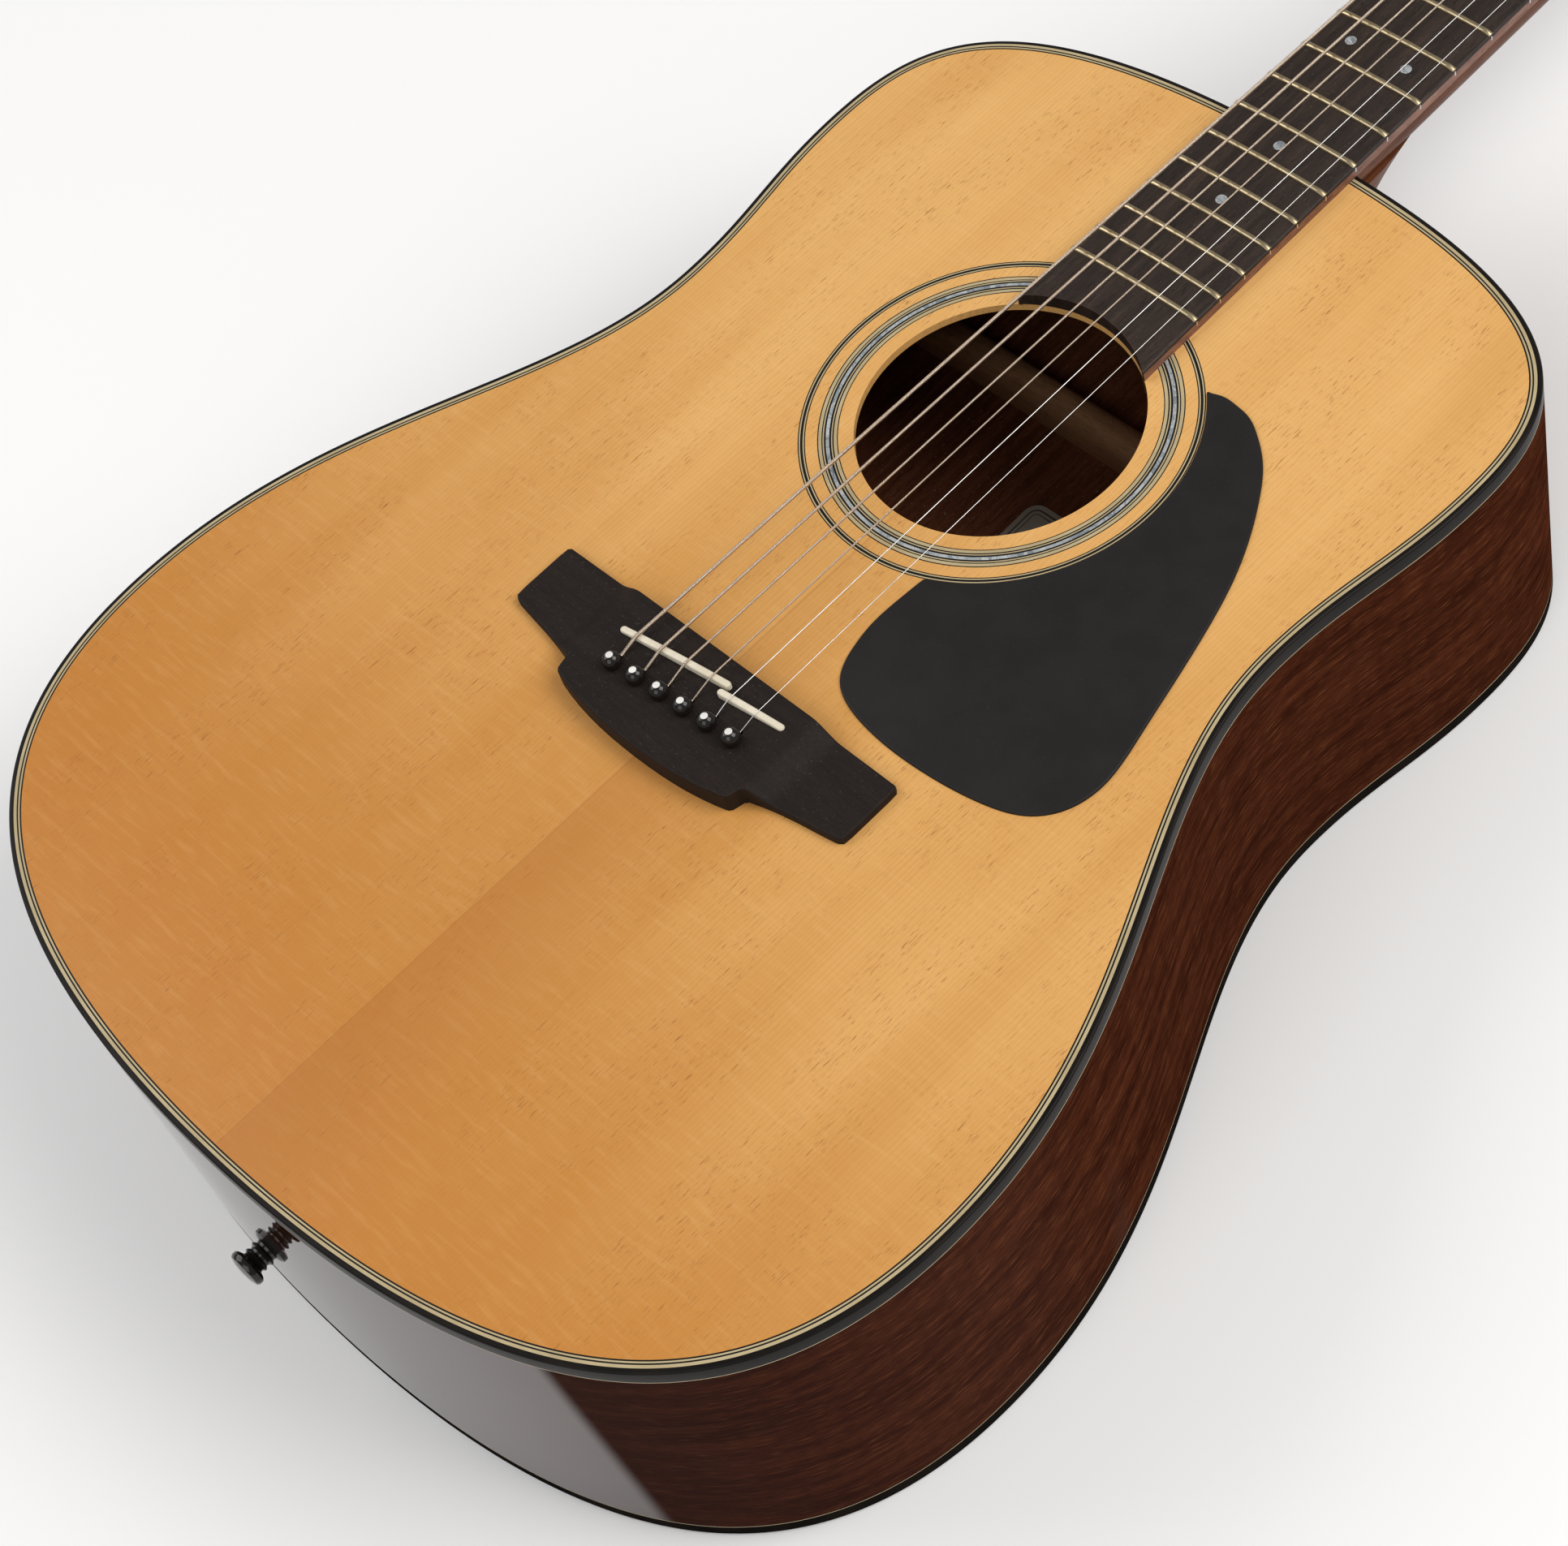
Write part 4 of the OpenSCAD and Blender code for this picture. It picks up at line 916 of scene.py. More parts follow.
def rimSweep(profile, first=0, last=None):
    # profile of (offset, height, "top" or "back") carried along the edge line
    count = edgeLook["points"]
    whole = last is None
    index = np.arange(first, count if whole else last + 1) % count
    rows = []
    for i in index:
        row = []
        for offset, z, ref in profile:
            x, y = edgeLine[i] + edgeNormal[i] * offset
            row.append((x, y, z if ref == "top" else backZ(y, z)))
        rows.append(row)
    lengths = [0.0]
    for a, b in zip(profile, profile[1:] + profile[:1]):
        drop = abs(a[1] - b[1]) if a[2] == b[2] else 0.11
        lengths.append(lengths[-1] + abs(a[0] - b[0]) + drop)

    def uv(i, j):
        at = first + i
        return arcLength[at if at <= count else at - count], lengths[j]

    return gridShape(rows, closedAcross=True, closedAlong=whole, capEnds=not whole, uv=uv)


def bandProfile(outer, inner, low, high, ref="top", rounding=0.0, flip=False):
    # a band's section; its outer upper corner can be rounded, and flip turns it upside down
    pts = [(inner, low), (outer, low), (outer, high), (inner, high)]
    if rounding:
        pts[2:3] = [(outer - d, high - z) for d, z in quarterRound(rounding, 4)]
    if flip:
        pts = [(o, low + high - z) for o, z in pts]
    return [(o, z, ref) for o, z in pts]


e = edgeLook
bw, wide, thin = e["bindingWidth"], e["wideLine"], e["thinLine"]
bandHigh, bandRound = e["bindingHeight"], e["bindingRounding"]
addPiece("topBinding", rimSweep(bandProfile(0.0, -bw, -bandHigh, 0.0, rounding=bandRound)),
    "binding", ["top_binding"])
addPiece("backBinding", rimSweep(bandProfile(0.0, -bw, 0.0, bandHigh, "back", rounding=bandRound, flip=True)),
    "bindingLow", ["back_binding"])


def inlayLine(start, width):
    return rimSweep(bandProfile(-start, -start - width, -e["inlayDepth"], e["lift"]))


addPiece("purflingLight", joined([inlayLine(bw, wide), inlayLine(bw + wide + thin, thin)]),
    "cream", ["purfling_light"])
addPiece("purflingDark", joined([inlayLine(bw + wide, thin), inlayLine(bw + wide + 2 * thin, thin)]),
    "darkLine", ["purfling_dark"])
wallEdge = bandHigh + e["sideLine"]
addPiece("sideLines", joined([rimSweep(bandProfile(0.0, -e["sideLineDepth"], -wallEdge, -bandHigh)),
    rimSweep(bandProfile(0.0, -e["sideLineDepth"], bandHigh, wallEdge, "back"))]), "cream")

half = e["points"] // 2
sideProfile = [(-e["sideThickness"], -wallEdge, "top"), (0.0, -wallEdge, "top"), (0.0, wallEdge, "back"),
    (-e["sideThickness"], wallEdge, "back")]

addPiece("sideTreble", rimSweep(sideProfile, 0, half), "side", ["side_treble"])
addPiece("sideBass", rimSweep(sideProfile, half, 2 * half), "side", ["side_bass"])
print("sides, bindings and purfling made")


plateThickness = 3 * mm
plateLine = rim(e["plateGap"] - bw)
holeRadius = np.linalg.norm(localVerts("soundboard")[:, :2], axis=1).min()
addPiece("soundboardTop", plateShape(plateLine, -plateThickness, 0.0, [circle(holeRadius, 160)]),
    "spruce", ["soundboard"])


def ringShape(inner, outer, low, high, count=240):
    a = np.linspace(0, 2 * math.pi, count, endpoint=False)
    prof = [(outer, low), (outer, high), (inner, high), (inner, low)]
    rows = [[(r * math.cos(t), r * math.sin(t), z) for r, z in prof] for t in a]
    return gridShape(rows, closedAcross=True, closedAlong=True)


rosetteLook = {  # rings as (inner, outer) beyond the soundhole's edge
    "dark": [(5.5, 5.85), (6.95, 7.45), (7.85, 8.55), (9.75, 10.4), (10.85, 11.25), (12.35, 12.75),
        (17.0, 17.4), (17.85, 18.75), (19.2, 19.6)],
    "light": [(5.85, 6.95), (7.45, 7.85), (10.4, 10.85), (11.25, 12.35), (17.4, 17.85), (18.75, 19.2)],
    "pearl": [(8.55, 9.75)], "depth": 0.5 * mm,
}


def rosettePiece(name, rings, finish, node):
    low, high = -rosetteLook["depth"], edgeLook["lift"]
    shapes = [ringShape(holeRadius + a, holeRadius + b, low, high) for a, b in inMm(rings)]
    addPiece(name, joined(shapes), finish, [node])


rosettePiece("rosetteDark", rosetteLook["dark"], "darkLine", "rosette_dark")
rosettePiece("rosetteLight", rosetteLook["light"], "cream", "rosette_light")
rosettePiece("rosettePearl", rosetteLook["pearl"], "pearl", "rosette_pearl")

guardLook = {"bevel": 0.7 * mm, "gap": 0.01 * mm, "shortest": 0.3 * mm, "step": 4 * mm}
guardLow, guardHigh = (corner[2] for corner in extent("pickguard"))
flat = faceLoops("pickguard")[0]
flat = flat[np.linalg.norm(np.roll(flat, -1, 0) - flat, axis=1) > guardLook["shortest"]]
addPiece("pickguardSheet", plateShape(softened(dense(flat, guardLook["step"])), guardLow + guardLook["gap"],
    guardHigh, rounding=guardLook["bevel"]), "guard", ["pickguard"])
print("soundboard, rosette and pickguard made")


addPiece("backPlate", ontoBack(plateShape(plateLine, 0.0, plateThickness)), "back", ["back_plate"])
# thin skins give the inside its unlacquered wood
skinLook = {"wall": 2.65 * mm, "thickness": 0.25 * mm, "floorEdge": 8 * mm, "floorLow": 3.02 * mm,
    "floorHigh": 3.1 * mm}
wallIn, wallOut = -skinLook["wall"] - skinLook["thickness"], -skinLook["wall"]
addPiece("sideLining", rimSweep([(wallOut, -plateThickness, "top"), (wallIn, -plateThickness, "top"),
    (wallIn, plateThickness, "back"), (wallOut, plateThickness, "back")]), "insideStrip")
addPiece("backInside", ontoBack(plateShape(rim(-skinLook["floorEdge"]), skinLook["floorLow"],
    skinLook["floorHigh"])),
    "inside")

liningLook = {"width": 5.5 * mm, "kerf": 4 * mm, "gap": 0.9 * mm, "offset": 0.3 * mm, "deep": 17 * mm,
    "shoulder": 0.35, "middleGap": 46 * mm}


def kerfedShape(ref, low, high):
    # a bent strip of small blocks with saw cuts between them, open at the end blocks
    k = liningLook
    s, total = edgeLook["sideThickness"] + k["offset"], arcLength[-1]
    n = int(total / k["kerf"])
    stations = np.interp(np.arange(n + 1) / n * total, arcLength, np.arange(len(arcLength)))
    section = [(s, high), (s + k["width"], high), (s + k["width"], high + (low - high) * k["shoulder"]),
        (s, low)]
    shapes = []
    for a, after in zip(stations, stations[1:]):
        rows = []
        for t in (a, a + (after - a) * (1 - k["gap"] / k["kerf"])):
            i = int(t) % len(edgeLine)
            p = edgeLine[i] * (1 - t + int(t)) + edgeLine[(i + 1) % len(edgeLine)] * (t - int(t))
            if abs(p[0]) < k["middleGap"]:
                break
            places = [(p - edgeNormal[i] * o, z) for o, z in section]
            rows.append([(q[0], q[1], z if ref == "top" else backZ(q[1], z)) for q, z in places])
        if len(rows) == 2:
            shapes.append(prism(rows))
    return joined(shapes)


kerfedStrips = [kerfedShape("top", -liningLook["deep"], -plateThickness),
    kerfedShape("back", liningLook["deep"], skinLook["floorHigh"])]
addPiece("liningStrips", joined(kerfedStrips), "paleLong", ["linings"], smooth=False)

braceLook = {"width": 14 * mm, "endHeight": 4 * mm, "rise": 11 * mm, "fade": 45 * mm, "tallAbove": 12 * mm,
    "apart": 30 * mm, "shoulder": 0.55, "stripHalf": 9 * mm, "stripHigh": 5 * mm, "stripRound": 0.8 * mm,
    "stripSpans": ((24 * mm, -18 * mm), (36 * mm, -62 * mm))}


def backBracePieces():
    # back braces with rounded tops and thinned ends
    k = braceLook
    groups, shapes = [], []
    tall = [v for v in localVerts("back_braces") if v[2] > backZ(v[1], k["tallAbove"])]
    for v in sorted(tall, key=lambda v: v[1]):
        if not groups or v[1] - groups[-1][-1][1] > k["apart"]:
            groups.append([])
        groups[-1].append(v)
    for g in groups:
        g = np.array(g)
        y, w, halfLen = g[:, 1].mean(), k["width"], g[:, 0].max()
        rows = []
        for t in np.linspace(-1, 1, 41):
            fade = min(1.0, (1 - abs(t)) * halfLen / k["fade"])
            h = k["endHeight"] + k["rise"] * math.sin(fade * math.pi / 2)
            x, foot = t * halfLen, backZ(y, plateThickness)
            arch = [(x, y - w / 2 * c,
                backZ(y, plateThickness + h * (k["shoulder"] + (1 - k["shoulder"]) * up)))
                for c, up in halfArch(9)]
            rows.append([(x, y - w / 2, foot)] + arch + [(x, y + w / 2, foot)])
        shapes.append(prism(rows))
    addPiece("backBraces", joined(shapes), "pale", ["back_braces"])
    # the strip over the back's joint stops either side of the label
    (tailGap, labelTail), (labelNeck, neckGap) = k["stripSpans"]
    strips = [plateShape(roundedBox(-k["stripHalf"], k["stripHalf"], y0, y1, 1 * mm), skinLook["floorHigh"],
        k["stripHigh"], rounding=k["stripRound"]) for y0, y1 in ((tailY + tailGap, labelTail),
        (labelNeck, neckY + neckGap))]
    addPiece("backStrip", ontoBack(joined(strips)), "paleLong")


backBracePieces()

labelLook = {"y": 9 * mm, "width": 76 * mm, "height": 50 * mm, "corner": 6 * mm,
    "low": 3.2 * mm, "high": 3.4 * mm, "lineLow": 3.3 * mm, "lineHigh": 3.45 * mm,
    "borders": [(2.0, 2.7), (3.9, 4.3)]}


def labelPieces():
    # a blank paper label with a double border, seen through the soundhole
    k = labelLook

    def outline(d):
        w, h = k["width"] / 2 - d, k["height"] / 2 - d
        return roundedBox(-w, w, k["y"] - h, k["y"] + h, k["corner"] - d)

    addPiece("label", ontoBack(plateShape(outline(0), k["low"], k["high"])), "paper")
    lines = [plateShape(outline(a), k["lineLow"], k["lineHigh"], [outline(b)]) for a, b in inMm(k["borders"])]
    addPiece("labelBorder", ontoBack(joined(lines)), "ink")


labelPieces()


def dress(name, finish):
    # a CAD part that stays in view gets its finish in the slots it already has
    for slot in nodes[name].material_slots:
        slot.material = finishes[finish]


innerLook = {"neck_block": "paleLong", "tail_block": "paleLong", "bridge_plate": "pale",
    "top_braces": "paleLong",
    "truss_rod": "steel", "neck_bolts": "steel", "truss_nut": "brass"}
for name, finish in innerLook.items():
    dress(name, finish)
print("back, braces, linings and label made")


bridgeLook = {"height": 8.4 * mm, "rounding": 0.8 * mm, "tip": 3.2 * mm, "scoopIn": 41.5 * mm,
    "scoopOut": 54 * mm,
    "halfLength": 80 * mm, "stationGap": 1.5 * mm, "pinHole": 2.75 * mm, "stringSlot": 0.95 * mm,
    "slotLength": 4.9 * mm}
bridgeZ = bridgeLook["height"]
boneTop = extent("saddles")[1][2]
pinPlaces = sorted([((v.min(0) + v.max(0)) / 2)[:2] for v in islands("bridge_pins")], key=lambda p: p[0])


def bridgeTop(x):
    # the wings dip smoothly from the full height to thin tips
    k = bridgeLook
    t = min(1.0, max(0.0, (abs(x) - k["scoopIn"]) / (k["scoopOut"] - k["scoopIn"])))
    return bridgeZ + (k["tip"] - bridgeZ) * t * t * (3 - 2 * t)


def bridgePiece():
    k = bridgeLook
    outline = dense(softened(faceLoops("bridge", up=False)[0], 1, 0.15), 3 * mm)
    points, faces, _ = plateShape(outline, 0.02 * mm, bridgeZ, rounding=k["rounding"], steps=4)
    bm = bmesh.new()
    vs = [bm.verts.new(p) for p in points]
    for f in faces:
        bm.faces.new([vs[i] for i in f])
    for x in np.arange(0.5 * mm - k["halfLength"], k["halfLength"], k["stationGap"]):
        bmesh.ops.bisect_plane(bm, geom=bm.verts[:] + bm.edges[:] + bm.faces[:], plane_co=(x, 0, 0),
            plane_no=(1, 0, 0))
    for v in bm.verts:
        if v.co.z > bridgeZ - k["rounding"] - 0.05 * mm:
            v.co.z -= bridgeZ - bridgeTop(v.co.x)
    obj = addPiece("bridgeWood", fromBmesh(bm), "bridge", ["bridge"])
    # a hole for each pin, and the slot its string leaves by
    hole = latheShape([(k["pinHole"], -5 * mm), (k["pinHole"], 2 * mm)], 24)
    slot = plateShape(roundedBox(-k["stringSlot"], k["stringSlot"], 0, k["slotLength"], 0.9 * mm), -4 * mm,
        2 * mm)
    cutters = []
    for x, y in pinPlaces:
        cutters += [shifted(hole, x, y, bridgeZ - 0.5 * mm), shifted(slot, x, y, bridgeZ)]
    return cutAway(obj, cutters)


bridgePiece()

saddleLook = {"rounding": 0.8 * mm, "thickness": 2.6 * mm, "crownRadius": 406 * mm, "seat": 2 * mm,
    "slotGap": 0.12 * mm,
    "slotDeep": 0.2 * mm, "slotProud": 0.015 * mm}


def stadium(a, b, r, count=9):
    d = unit(b - a)
    n = np.array([-d[1], d[0]])
    pts = []
    for centre, sign in ((b, 1), (a, -1)):
        for t in np.linspace(-math.pi / 2, math.pi / 2, count):
            pts.append(centre + sign * r * (math.cos(t) * d + math.sin(t) * n))
    return np.array(pts)


def saddlePieces():
    # two bones with rounded tops; a slightly wider dark ring round each is painted shade in the gap of its
    # slot
    k = saddleLook
    r = k["thickness"] / 2
    shapes, slots = [], []
    for v in islands("saddles"):
        lo = v[v[:, 0] < v[:, 0].min() + 0.2 * mm].mean(0)[:2]
        hi = v[v[:, 0] > v[:, 0].max() - 0.2 * mm].mean(0)[:2]
        d = unit(hi - lo)
        loop, slotLoop = (dense(stadium(lo + d * r, hi - d * r, w), 2 * mm) for w in (r, r + k["slotGap"]))
        p, f, _ = plateShape(loop, bridgeZ - k["seat"], boneTop, rounding=k["rounding"], steps=5)
        high = p[:, 2] > bridgeZ
        p[high, 2] -= p[high, 0] ** 2 / (2 * k["crownRadius"])
        shapes.append((p, f, None))
        # painted shade: a dark ring in the gap between bone and bridge
        slots.append(plateShape(slotLoop, bridgeZ - k["slotDeep"], bridgeZ + k["slotProud"], [loop]))
    addPiece("saddleBones", joined(shapes), "bone", ["saddles"])
    addPiece("saddleGapShade", joined(slots), "darkLine")


saddlePieces()

pinLook = {"ball": 3.55 * mm, "shaft": 2.5 * mm, "dot": 1.35 * mm,
    "collar": [(2.9, 0.3), (3.1, 0.6), (2.6, 1.0)],
    "ballFrom": -38, "ballTo": 70, "dish": 0.9,
    # shares of the dot's and the ball's radius
    "dotProfile": [(0.97, 0.88), (0.97, 0.945), (0.8, 0.985), (0.4, 0.999)]}


def pinPieces():
    # ball-headed pins with a collar; a white dot sits in each head
    k = pinLook
    ball, shaft, dot = k["ball"], k["shaft"], k["dot"]
    centre = extent("bridge_pins")[1][2] - ball
    profile = [(1.2 * mm, -12 * mm), (shaft * 0.8, -11 * mm), (shaft, bridgeZ - 0.6 * mm),
        (shaft, bridgeZ + 0.2 * mm)]
    profile += [(r, bridgeZ + z) for r, z in inMm(k["collar"])]
    for a in np.radians(np.linspace(k["ballFrom"], k["ballTo"], 16)):
        profile.append((ball * math.cos(a), centre + ball * math.sin(a)))
    dish = centre + ball * k["dish"]
    profile += [(dot, centre + ball * 0.935), (dot * 0.98, dish), (0.1 * mm, dish)]
    dotProfile = [(dot * r, centre + ball * z) for r, z in k["dotProfile"]]
    dotProfile = [(0.1 * mm, dotProfile[0][1])] + dotProfile + [(0.05 * mm, centre + ball)]
    pin, white = latheShape(profile, 40), latheShape(dotProfile, 24)
    addPiece("bridgePins", joined([shifted(pin, x, y) for x, y in pinPlaces]), "pinBlack", ["bridge_pins"])
    addPiece("pinDots", joined([shifted(white, x, y) for x, y in pinPlaces]), "pinWhite", ["pin_dots"])


pinPieces()
for i in range(1, 7):
    dress("string_%d" % i, "plainString" if i < 3 else "wound")
print("bridge, saddles, pins and strings made")


boardLook = {"crownRadius": 406 * mm, "edgeRounding": 0.7 * mm, "rows": 90, "across": 24, "bandTop": 1.3 * mm,
    "foot": 1.4 * mm, "stripDepth": 0.4 * mm, "stripProud": 0.012 * mm}
boardPts = localVerts("fretboard")
boardHigh = boardPts.max(0)
nutLow, nutHigh = extent("nut")
boardTop, endWidth, nutHalf = boardHigh[2], boardHigh[0], nutHigh[0]
boardEndY = boardPts[np.argmax(boardPts[:, 0])][1]
boardSlope = (endWidth - nutHalf) / (boardHigh[1] - boardEndY)


def boardHalf(y):
    return nutHalf + (boardHigh[1] - y) * boardSlope


def crownZ(x):
    return boardTop - x * x / (2 * boardLook["crownRadius"])


def boardPieces():
    # a crowned board whose lower end follows the soundhole, with strips of painted light on its two edges: a
    # lighter copy of the board's wood for the lit side walls
    k = boardLook
    edge = quarterRound(k["edgeRounding"], 3)
    left = [(-1.0, 0.0, k["foot"])] + [(-1.0, d, z) for d, z in edge]
    across = left + [(t, 0.0, 0.0) for t in np.linspace(-0.95, 0.95, k["across"])]
    across += [(-t, d, z) for t, d, z in reversed(left)]
    rows = []
    for t in np.linspace(0, 1, k["rows"]):
        upper, under = [], []
        for share, side, drop in across:
            yEnd = math.sqrt(holeRadius ** 2 - (share * endWidth) ** 2)
            y = yEnd + (boardHigh[1] - yEnd) * t
            x = share * boardHalf(y) - math.copysign(side, share)
            upper.append((x, y, crownZ(x) - drop))
            under.append((x, y, 0.02 * mm))
        rows.append(upper + under[::-1])
    points, faces, _ = gridShape(rows, closedAcross=True)
    m, half = len(rows[0]), len(rows[0]) // 2
    for start in (0, (len(rows) - 1) * m):
        # the end walls follow the soundhole's edge
        faces += [(start + j, start + j + 1, start + m - 2 - j, start + m - 1 - j) for j in range(half - 1)]
    addPiece("fretboardWood", (points, faces, None), "board", ["fretboard"])
    strips = []
    for side in (-1, 1):
        rows = []
        for y in np.linspace(math.sqrt(holeRadius ** 2 - endWidth ** 2) + 0.05 * mm, boardHigh[1], 40):
            w, inner = side * (boardHalf(y) + k["stripProud"]), side * (boardHalf(y) - k["stripDepth"])
            top, foot = crownZ(w) - k["bandTop"], 0.05 * mm
            rows.append([(w, y, foot), (w, y, top), (inner, y, top), (inner, y, foot)])
        strips.append(prism(rows))
    addPiece("boardSideLightStrips", joined(strips), "boardSidePaintedLight")


boardPieces()

fretLook = {"height": 1.1 * mm, "width": 2.3 * mm, "endBevel": 1.0 * mm, "slot": 0.56 * mm, "endShare": 0.15,
    "crest": 0.8, "slotLow": 2.6 * mm, "slotHigh": 0.6 * mm, "slotDeep": 0.5 * mm, "slotProud": 0.02 * mm}


def fretPieces():
    # crowned wires with bevelled ends; the tang's slot shows on the board's edge
    k = fretLook
    shapes, slots = [], []
    for v in islands("frets"):
        y, w = (v[:, 1].min() + v[:, 1].max()) / 2, v[:, 0].max()
        rows = []
        for t in np.linspace(-1, 1, 31):
            x = t * w
            ends = min(1.0, (w - abs(x)) / k["endBevel"])
            h = k["height"] * (k["endShare"] + (1 - k["endShare"]) * math.sqrt(max(ends, 0)))
            rows.append([(x, y - k["width"] / 2 * c, crownZ(x) + h * up + 0.01 * mm)
                for c, up in halfArch(11, 1.0, k["crest"])])
        shapes.append(prism(rows))
        edge, half = boardHalf(y), k["slot"] / 2
        for side in (-1, 1):
            x0, x1 = sorted((side * (edge - k["slotDeep"]), side * (edge + k["slotProud"])))
            loop = np.array([(x0, y - half), (x1, y - half), (x1, y + half), (x0, y + half)])
            slots.append(plateShape(loop, crownZ(edge) - k["slotLow"], crownZ(edge) - k["slotHigh"]))
    addPiece("fretWires", joined(shapes), "fret", ["frets"])
    addPiece("fretSlots", joined(slots), "steel")


fretPieces()


def dotPieces():
    # pearl dots that follow the board's crown
    shapes = []
    for v in islands("position_dots"):
        c = (v.min(0) + v.max(0)) / 2
        r = (v[:, 0].max() - v[:, 0].min()) / 2
        p, f, _ = plateShape(circle(r, 40, c[:2]), -1 * mm, 0.0, rounding=0.08 * mm)
        p[:, 2] += crownZ(p[:, 0]) + 0.03 * mm
        shapes.append((p, f, None))
    addPiece("positionDots", joined(shapes), "pearl", ["position_dots"])


dotPieces()

nutLook = {"rounding": 0.9 * mm, "frontShare": 0.8, "station": 0.2 * mm, "notchGap": 0.15 * mm,
    "stringRadii": [0.16, 0.21, 0.33, 0.43, 0.57, 0.68]}


def nutPiece():
    # a rounded bone bar, notched for each string
    k = nutLook
    notches = []
    for i, r in enumerate(k["stringRadii"], 1):
        v = localVerts("string_%d" % i)
        at = v[np.abs(v[:, 1] - nutHigh[1]) < 2 * mm]
        notches.append((at[:, 0].mean(), at[:, 2].min() - 0.02 * mm, r * mm + k["notchGap"]))
    rows = []
    low, high, foot = nutLow[1], nutHigh[1], 0.02 * mm
    edge = quarterRound(k["rounding"], 4)
    for x in np.arange(nutLow[0], nutHigh[0] + 0.01 * mm, k["station"]):
        top = nutHigh[2] - x * x / (2 * boardLook["crownRadius"])
        side = nutHigh[0] - abs(x)
        if side < k["rounding"]:
            top -= k["rounding"] - math.sqrt(max(k["rounding"] ** 2 - (k["rounding"] - side) ** 2, 0))
        for notchX, notchZ, half in notches:
            if abs(x - notchX) < half:
                top = min(top, notchZ)
        rows.append([(x, low, foot)] + [(x, low + d, top - z) for d, z in edge]
            + [(x, high - d, top - z * k["frontShare"]) for d, z in reversed(edge)] + [(x, high, foot)])
    addPiece("nutBone", prism(rows), "bone", ["nut"])


nutPiece()
print("fretboard, frets, dots and nut made")


neckShape = {"depthAtNut": 15.2 * mm, "depthAtHeel": 18.2 * mm, "fullness": 0.82, "roundness": 0.9,
    "rows": 60,
    "across": 33, "overlap": 0.5 * mm, "pastNut": 1.5 * mm, "tuck": 0.05 * mm}
heelLook = {"width": 13.2 * mm, "reach": 13 * mm, "lean": 3 * mm, "flare": 46 * mm, "flareFrom": 0.55,
    "flarePower": 3.2,
    "widen": 1.5, "top": -9 * mm, "rows": 34, "fullness": 0.9, "roundness": 0.95, "capHeight": 3 * mm,
    "capBevel": 0.6 * mm}
headLook = {"thickness": 14 * mm, "veneer": 2 * mm, "rounding": 2.2 * mm, "veneerRounding": 0.8 * mm,
    "postHole": 5.02 * mm}
veneerNormal = unlaid.to_3x3() @ faceNormal("headstock_veneer", 0.8)
headTilt = math.atan2(veneerNormal.y, veneerNormal.z)
nutLine = Matrix.Translation((0, nutHigh[1], 0))
headLocal = nutLine @ Matrix.Rotation(-headTilt, 4, "X")
headMatrix = laid @ headLocal
unhead = headMatrix.inverted()


def neckPieces():
    k = neckShape
    y0, y1 = neckY - k["overlap"], nutHigh[1] + k["pastNut"]
    arch = halfArch(k["across"], k["fullness"], k["roundness"])
    rows = []
    for t in np.linspace(0, 1, k["rows"]):
        y = y0 + (y1 - y0) * t
        w = boardHalf(min(y, nutLow[1])) - k["tuck"]
        d = k["depthAtHeel"] + (k["depthAtNut"] - k["depthAtHeel"]) * t
        rows.append([(w * c, y, -d * up) for c, up in arch])
    shapes = [prism(rows)]
    # the heel: stacked plan sections that swell into the neck
    h = heelLook
    heelBottom = backZ(neckY + 6 * mm, h["capHeight"])
    arch = halfArch(k["across"], h["fullness"], h["roundness"])
    rows = []
    for t in np.linspace(0, 1, h["rows"]):
        z = heelBottom + (h["top"] - heelBottom) * t
        w = h["width"] + (boardHalf(neckY) - h["width"]) * t ** h["widen"]
        swell = max(0, (t - h["flareFrom"]) / (1 - h["flareFrom"])) ** h["flarePower"]
        out = h["reach"] + h["lean"] * t + h["flare"] * swell
        rows.append([(w * c, y0 + out * up, z) for c, up in arch])
    shapes.append(prism(rows))
    addPiece("neckBody", joined(shapes), "neck", ["neck"])
    cap = []
    capLevels = ((backZ(neckY, 0.3 * mm), -h["capBevel"]), (backZ(neckY, 0.8 * mm), 0),
        (heelBottom - 0.02 * mm, 0))
    for z, grow in capLevels:
        plan = [((h["width"] + grow) * c, neckY - 0.3 * mm + (h["reach"] + grow) * up) for c, up in arch]
        cap.append([(x, y, max(z, backZ(y, 0.3 * mm))) for x, y in plan])
    addPiece("heelCap", prism(cap), "binding", ["heel_cap"])


neckPieces()

postBoxes = [extent("tuner_post_%d" % i, unhead) for i in range(1, 7)]
postCentres = [((low + high) / 2)[:2] for low, high in postBoxes]
backFace = -headLook["veneer"] - headLook["thickness"]
voluteLook = {"reach": 26 * mm, "halfWidth": 18 * mm, "narrow": 0.35, "depth": 3 * mm, "swell": 3.2 * mm,
    "neckSide": (-15.0 * mm, -0.4 * mm), "headSide": (-15.9 * mm, -0.3 * mm)}


